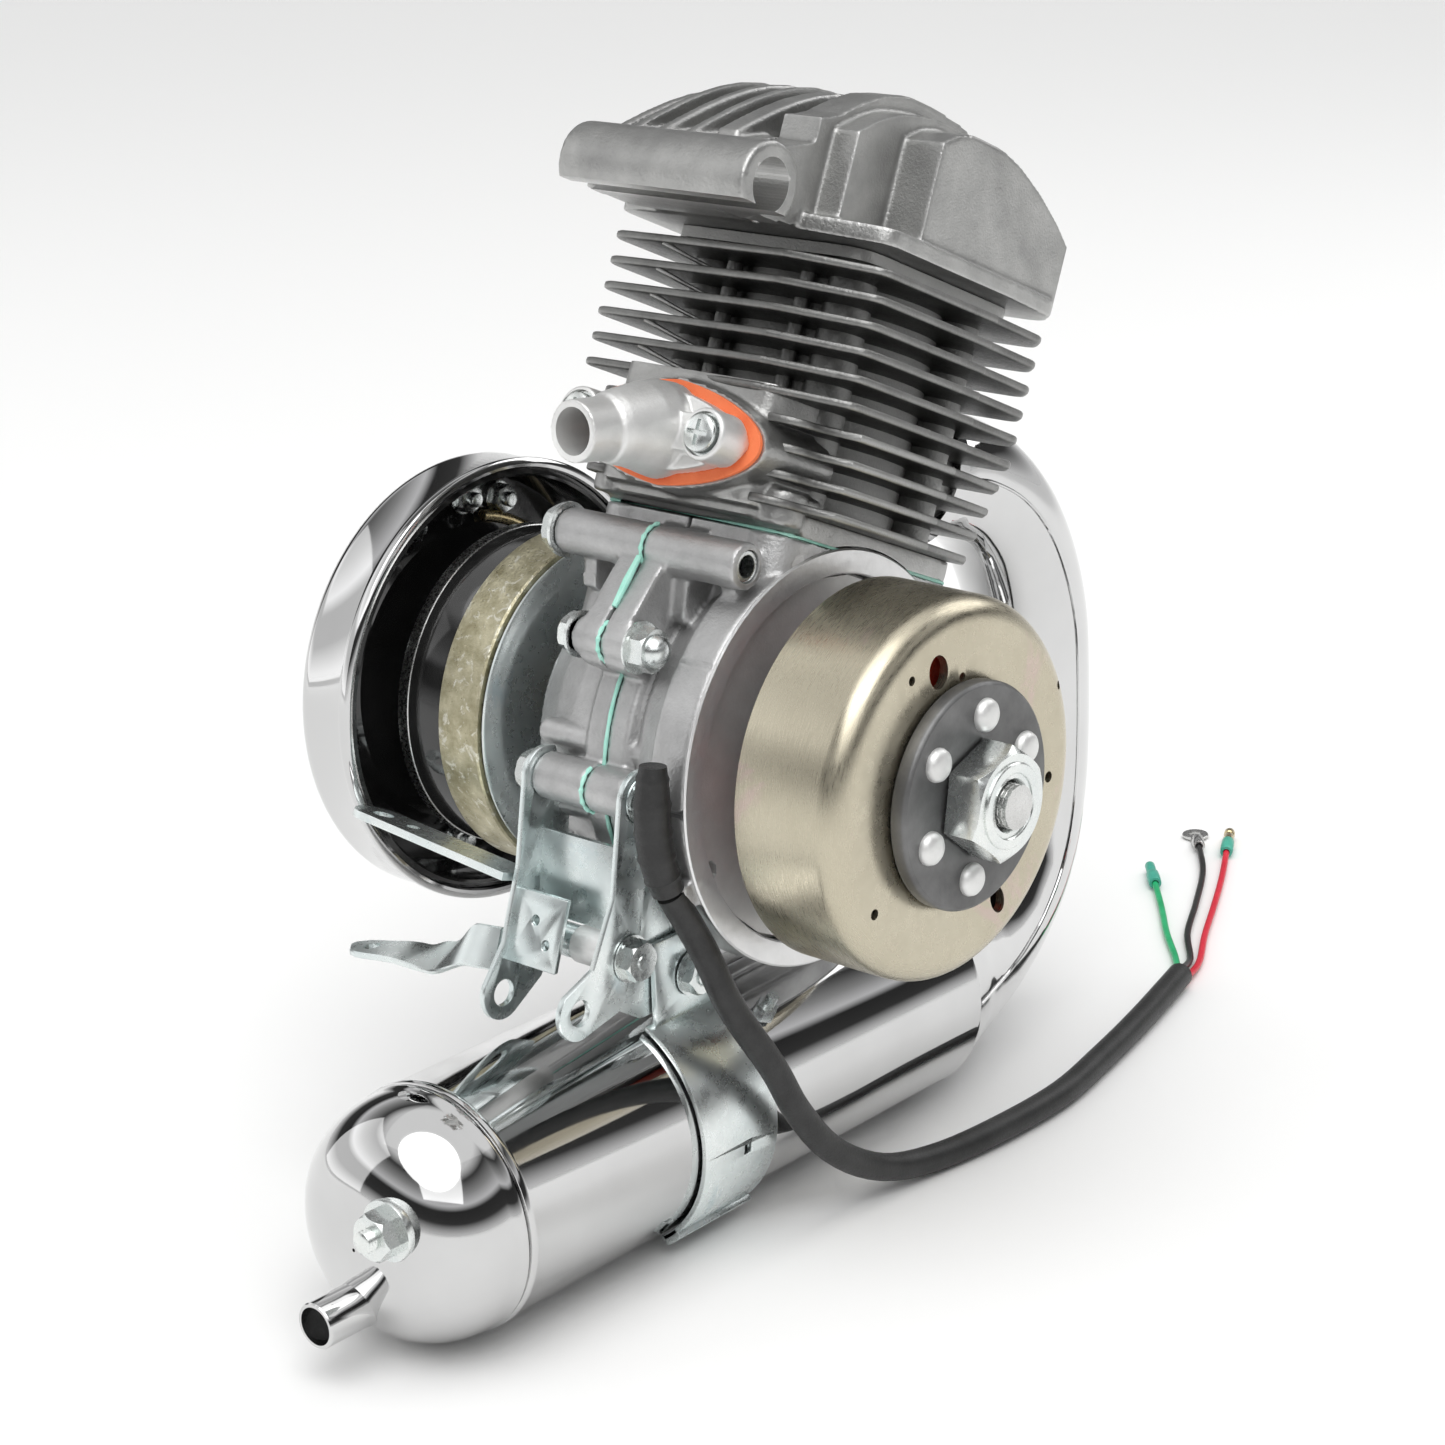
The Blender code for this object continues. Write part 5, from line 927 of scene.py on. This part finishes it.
put("exhaust_pipe_v", joined(pipe, *seams), CHROME, "case", ("exhaust_pipe",))
flg = shift(moved(lathe([(16.9, 44.6), (21.0, 44.6), (22.0, 45.2), (22.0, 50.0), (21.2, 50.8), (17.4, 50.8)], 72, ring=True), TO_Y), 0, 0, 84.0)
put("exhaust_nut_v", flg, CHROME, "case", (), "chrome_plate", frame_m=M_CYL)
TOM = Matrix.Translation((0, 0, MUF_Z * MM)) @ TO_Y
bodyp = [(32.7, MUF_Y0 - 3.9), (33.6, MUF_Y0 - 4.0), (34.4, MUF_Y0 - 3.6), (34.6, MUF_Y0 - 2.6), (34.5, MUF_Y0 - 1.6), (34.0, MUF_Y0 - 0.8),
         (34.0, MUF_Y1 - 1.6), (34.3, MUF_Y1 - 1.0), (34.3, MUF_Y1 - 0.2), (33.6, MUF_Y1), (32.7, MUF_Y1)]
put("muffler_body_v", moved(lathe(bodyp, 128, ring=True), TOM), CHROME, "case", ("muffler_body",))
YC = MUF_Y0 - 4.3
out_ = [(32.7, YC), (33.4, YC), (34.1, YC - 0.4), (34.2, YC - 1.4), (33.8, YC - 2.4)]
for k in range(1, 25):
    a = math.radians(90 * k / 24)
    out_.append((4.0 + 29.8 * math.cos(a) ** 0.86 if k < 24 else 3.0, YC - 2.4 - 26.6 * math.sin(a) ** 0.92))
out_ += [(0.5, YC - 29.1), (0.5, YC - 27.6)]
for k in range(20, -1, -1):
    a = math.radians(90 * k / 20)
    out_.append((4.0 + 28.0 * math.cos(a) ** 0.86 if k < 20 else 3.0, YC - 1.4 - 25.6 * math.sin(a) ** 0.92))
capv = moved(lathe(out_, 128, ring=True), TOM)
STUD, TAIL = (13.0, 9.5), (-3.0, -17.5)
tpo = shift(moved(lathe([(5.2, -163.5), (6.0, -163.5), (6.3, -163.1), (6.3, -158.0), (6.3, -150.2), (6.6, -147.2), (7.2, -144.6), (5.2, -144.0)], 48, ring=True), TO_Y), TAIL[0], 0, MUF_Z + TAIL[1])
put("muffler_end_cap_v", joined(capv, tpo), CHROME, "case", ("muffler_end_cap",))
# painted shade: a black disc set inside the tail pipe so its bore reads dark
tail_bore_shade_disc = shift(moved(lathe([(0, -156.0), (5.15, -156.0), (5.15, -150), (0, -150)], 32), TO_Y), TAIL[0], 0, MUF_Z + TAIL[1])
put("tail_bore_v", tail_bore_shade_disc, RUBBER, "case", (), "black_rubber")
sn = prism(hexa(11.5, 0, 0, 10), -157.4, -151.6)
lim = lathe([(0, -157.41), (5.8, -157.41), (6.7, -156.4), (6.7, -151.5), (0, -151.5)], 48)
sn = boolean(sn, 'INTERSECT', [lim])
sthr = [(0, -160.6), (2.3, -160.6)] + [p for k in range(8) for p in ((3.0, -160.2 + k), (2.6, -159.7 + k))] + [(3.0, -150.0), (0, -150.0)]
wsh = lathe([(0, -151.8), (8.2, -151.8), (8.4, -151.2), (8.0, -149.4), (0, -149.4)], 48)
put("muffler_stud_nut_v", shift(moved(joined(sn, lathe(sthr, 32), wsh), TO_Y), STUD[0], 0, MUF_Z + STUD[1]), ZINCN, "case", ("muffler_stud_nut",))

# ------------------------------------------------------------------ brackets
def sheet_yz(points, x0, x1, holes, rad=3.0):
    me = yz(round_poly(points, rad, 5), x0, x1)
    me = cut(me, *[shift(moved(lathe([(0, x0 - 2), (r, x0 - 2), (r, x1 + 2), (0, x1 + 2)], 32), TO_X), 0, y, z) for y, z, r in holes])
    return bevelled(me, 0.25, 2, 50)


EAR_R, EAR_L = (-81.0, -51.0), (-74.6, -56.0)
rp = arc(low_y, low_z, 8.0, 60, 170, 8) + [(-66.0, -24.0), (-75.0, -41.0)] + arc(*EAR_R, 7.6, 130, 290, 12) + \
     [(-66.0, -55.5), (-58.0, -60.5), (-29.0, -60.5), (-31.0, -48.0), (-40.0, -28.0), (-45.5, -10.0)]
lp = arc(low_y, low_z, 8.0, 60, 170, 8) + [(-66.0, -22.0), (-73.0, -42.0)] + arc(*EAR_L, 7.6, 150, 300, 12) + [(-60.0, -56.0), (-50.0, -40.0), (-45.5, -10.0)]
rpm = sheet_yz(rp, 13.8, 15.6, [(low_y, low_z, 3.6), (*EAR_R, 3.7), (-61.0, -42.0, 3.2), (-39.5, -52.5, 3.3), (-52.0, -22.0, 1.6)], 0.0)
lpm = sheet_yz(lp, -20.5, -18.7, [(low_y, low_z, 3.6), (*EAR_L, 3.7), (-61.0, -42.0, 3.2)], 0.0)
web = bevelled(yz([(-56.5, -14.0), (-54.9, -14.0), (-58.4, -37.0), (-60.0, -37.0)], -19.6, 14.6), 0.3)
brc = yz(round_poly([(-66.6, -28.0), (-65.0, -28.0), (-71.6, -47.0), (-73.2, -47.0)], 0.3, 2), -19.5, -1.0)
brc = bevelled(cut(brc, shift(moved(lathe([(0, -90), (1.4, -90), (1.4, -50), (0, -50)], 20), TO_Y), -11, 0, -35), shift(moved(lathe([(0, -90), (1.4, -90), (1.4, -50), (0, -50)], 20), TO_Y), -6, 0, -40.5)), 0.3)
spc = cut(xcyl(5.2, -2.0, 13.6, -61.0, -42.0, 40, 0.4), xcyl(3.3, -20, 20, -61.0, -42.0, 32, 0.1))
spc2 = cut(xcyl(4.6, -18.9, -2.0, -61.0, -42.0, 40, 0.4), xcyl(3.3, -20, 20, -61.0, -42.0, 32, 0.1))
put("engine_bracket_v", joined(rpm, lpm, web, brc, spc2), ZINC, "case", ("engine_bracket",))
put("bracket_roller_v", spc, MACH, "case", (), "machined_aluminium")
ta = union(prism(rect(-78.0, -21.5, -7.0, 7.0), -1.1, 1.1), zcyl(7.0, -1.1, 1.1, -78.0, 0.0, 40, 0.1))
ta = cut(ta, zcyl(3.0, -5, 5, -76.0, 0.0, 32, 0.1), zcyl(2.0, -5, 5, -64.0, 0.0, 24, 0.1))
ta_m = Matrix.Translation((0, -0.0640, -0.0285)) @ Matrix.Rotation(math.radians(-18), 4, 'X') @ Matrix.Rotation(math.radians(5), 4, 'Y')
put("torque_arm_v", moved(bevelled(ta, 0.3), ta_m), ZINC, "case", ("torque_arm",))
lever_path = [(-21.2, -73.0, -44.5), (-30.0, -74.0, -45.0), (-40.0, -76.5, -50.5), (-50.0, -77.0, -52.0), (-74.0, -77.5, -55.0)]
tws = [70, 55, 25, 5, 0]
lv = bmesh.new()
prev = None
N = 36
for s_i in range(N + 1):
    u = s_i / N * 4
    i = min(3, int(u)); t = u - i
    t2 = t * t * (3 - 2 * t)
    a, b = Vector(lever_path[i]), Vector(lever_path[i + 1])
    p = a.lerp(b, t)
    p.z = a.z + (b.z - a.z) * t2
    tw = math.radians(tws[i] * (1 - t2) + tws[i + 1] * t2)
    w = 6.0 if u < 3 else 6.0 - 1.0 * (u - 3)
    if u > 3.75:
        w *= math.sqrt(max(0.02, 1 - ((u - 3.75) / 0.26) ** 2))
    c, s_ = math.cos(tw), math.sin(tw)
    quad = []
    for du, dv in ((-w, -0.6), (-w + 0.4, -0.95), (w - 0.4, -0.95), (w, -0.6), (w, 0.6), (w - 0.4, 0.95), (-w + 0.4, 0.95), (-w, 0.6)):
        quad.append(lv.verts.new((p.x * MM, (p.y + du * c - dv * s_) * MM, (p.z + du * s_ + dv * c) * MM)))
    if prev:
        for j in range(8):
            lv.faces.new((prev[j], prev[(j + 1) % 8], quad[(j + 1) % 8], quad[j]))
    else:
        lv.faces.new(quad)
    prev = quad
lv.faces.new(prev)
lever = cut(finish_bm(lv), zcyl(2.4, -65, -45, -67.0, -77.3, 28, 0.1))
put("cable_lever_v", lever, ZINC, "case", ("cable_lever",))
band_pts = arc(0, MUF_Z, 36.0, 64, -58, 40) + arc(0, MUF_Z, 34.5, -58, 64, 40)
bnd = xz(band_pts, -56.5, -26.8)
slotc = xz(round_poly(rect(33.0, 38.0, -101.5, -97.5), 0.8, 3), -40.5, -37.8)
bnd = bevelled(cut(bnd, slotc), 0.3)
lipp = arc(0, MUF_Z, 37.6, -47, -57, 8) + arc(0, MUF_Z, 34.5, -57, -47, 8)
lip = bevelled(xz(lipp, -56.5, -26.8), 0.3)
tab = xz([(16.1, -40.0), (17.8, -40.0), (17.9, -62.0), (17.0, -64.6), (15.2, -64.2), (16.0, -61.5)], -54.0, -28.0)
tab = bevelled(cut(tab, shift(moved(lathe([(0, 8), (3.4, 8), (3.4, 30), (0, 30)], 32), TO_X), 0, -39.5, -52.5)), 0.3)
put("muffler_strap_v", joined(bnd, lip, tab), ZINC, "case", ("muffler_strap",))
stdn = [shift(loft([(24.0, -18.1, -71.0), (26.2, -18.1, -67.6)], [3.4, 3.2], 6), 0, 0, 0), loft([(22.5, -18.1, -73.3), (28.4, -18.1, -64.2)], [1.8, 1.7], 20)]
put("muffler_side_stud_v", joined(*stdn), ZINCN, "case", (), "zinc_plate")

# ------------------------------------------------------------------ grommet, stator
gr = catmull([(28.0, -62.6, 15.0), (28.0, -63.4, 6.0), (28.0, -63.4, -4.0), (28.1, -61.8, -13.0), (28.6, -59.4, -20.2)], 8)
gn = len(gr)
grr = [3.6 + 1.3 * math.sin(min(1.0, i / (gn * 0.35)) * math.pi / 2) - (0.5 * max(0, i - gn * 0.7) / (gn * 0.3)) for i in range(gn)]
grr = [r + (0.35 if i % 6 == 3 else 0) for i, r in enumerate(grr)]
put("harness_grommet_v", loft([tuple(p) for p in gr], grr, 32), RUBBER, "case", ("harness_grommet",))
for nm, k in (("ignition_coil", 0), ("lighting_coil", 1)):
    lay = []
    for j in range(14):
        z0 = 41.6 + j * 1.25
        lay.append(None)
    body = prism(round_poly(rect(22.5, 37.2, -8.8, 8.8), 1.2, 3), 44.2, 72.0)
    wind = [body] + [prism(round_poly(rect(22.3, 37.6, -9.2, 9.2), 1.2, 3), 45.0 + j * 1.6, 45.9 + j * 1.6) for j in range(17)]
    me = moved(joined(*wind), Matrix.Rotation(math.radians(90 + 180 * k), 4, 'Z'))
    if k == 0:
        me = joined(me, moved(lathe([(25.0, 58.5), (38.0, 58.5), (38.6, 62.0), (38.0, 71.0), (36.0, 72.5), (26.5, 72.5), (25.0, 71.0)], 64, ring=True), Matrix.Identity(4)))
    put(nm + "_v", moved(me, TO_X), COIL, "case", (nm,))

# ------------------------------------------------------------------ stage and light
lowest = min(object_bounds()[0].z, lo0.z)
fm = bpy.data.meshes.new("floor")
bm = bmesh.new()
bmesh.ops.create_grid(bm, x_segments=1, y_segments=1, size=6.0)
bm.to_mesh(fm); bm.free()
floor = bpy.data.objects.new("floor", fm)
scene.collection.objects.link(floor)
floor.location = (0, 0, lowest - 0.0003)
mf, ntf, bf = new_mat("floor_white")
bf.inputs["Base Color"].default_value = (0.93, 0.93, 0.925, 1)
bf.inputs["Roughness"].default_value = 0.9
bf.inputs["Specular IOR Level"].default_value = 0.1
fm.materials.append(mf)

wd = bpy.data.worlds.new("studio")
scene.world = wd
wd.use_nodes = True
nt = wd.node_tree
bg = nt.nodes["Background"]
tc = nt.nodes.new("ShaderNodeTexCoord")
sep = nt.nodes.new("ShaderNodeSeparateXYZ")
nt.links.new(tc.outputs["Generated"], sep.inputs[0])
rw = ramp(nt, sep.outputs["Z"], [(0.0, (0.95, 0.95, 0.95)), (0.06, (0.62, 0.62, 0.62)), (0.16, (0.06, 0.06, 0.06)), (0.34, (0.04, 0.04, 0.04)), (0.42, (0.9, 0.9, 0.91)), (0.55, (0.42, 0.42, 0.42)), (0.70, (0.06, 0.06, 0.06)), (0.80, (1.0, 1.0, 1.0)), (1.0, (1.0, 1.0, 1.0))])
nt.links.new(rw.outputs["Color"], bg.inputs["Color"])
bg.inputs["Strength"].default_value = 0.75


def area(name, loc, target, size, power, sy=None):
    l = bpy.data.lights.new(name, 'AREA')
    l.shape = 'RECTANGLE'
    l.size = size
    l.size_y = sy or size
    l.energy = power
    o = bpy.data.objects.new(name, l)
    scene.collection.objects.link(o)
    d = (Vector(target) - Vector(loc)).normalized()
    o.matrix_world = Matrix.Translation(loc) @ d.to_track_quat('-Z', 'Y').to_matrix().to_4x4()
    return o


area("key", (0.9, -0.9, 1.3), (0, 0, -0.1), 1.7, 10)
area("left", (-1.5, -0.9, 0.6), (0, 0, -0.15), 1.8, 7, 1.8)
area("rim", (0.4, 1.4, 0.8), (0, 0, -0.1), 0.9, 5)
area("top", (0.0, 0.0, 1.6), (0, 0, 0), 2.4, 3)
sl = bpy.data.lights.new("sun", 'SUN')
sl.energy = 1.25
sl.angle = math.radians(60)
so = bpy.data.objects.new("sun", sl)
scene.collection.objects.link(so)
so.matrix_world = Matrix.Translation((0, 0, 2)) @ Vector((-0.25, 0.35, -1.0)).to_track_quat('-Z', 'Y').to_matrix().to_4x4()
scene.view_settings.view_transform = 'Standard'
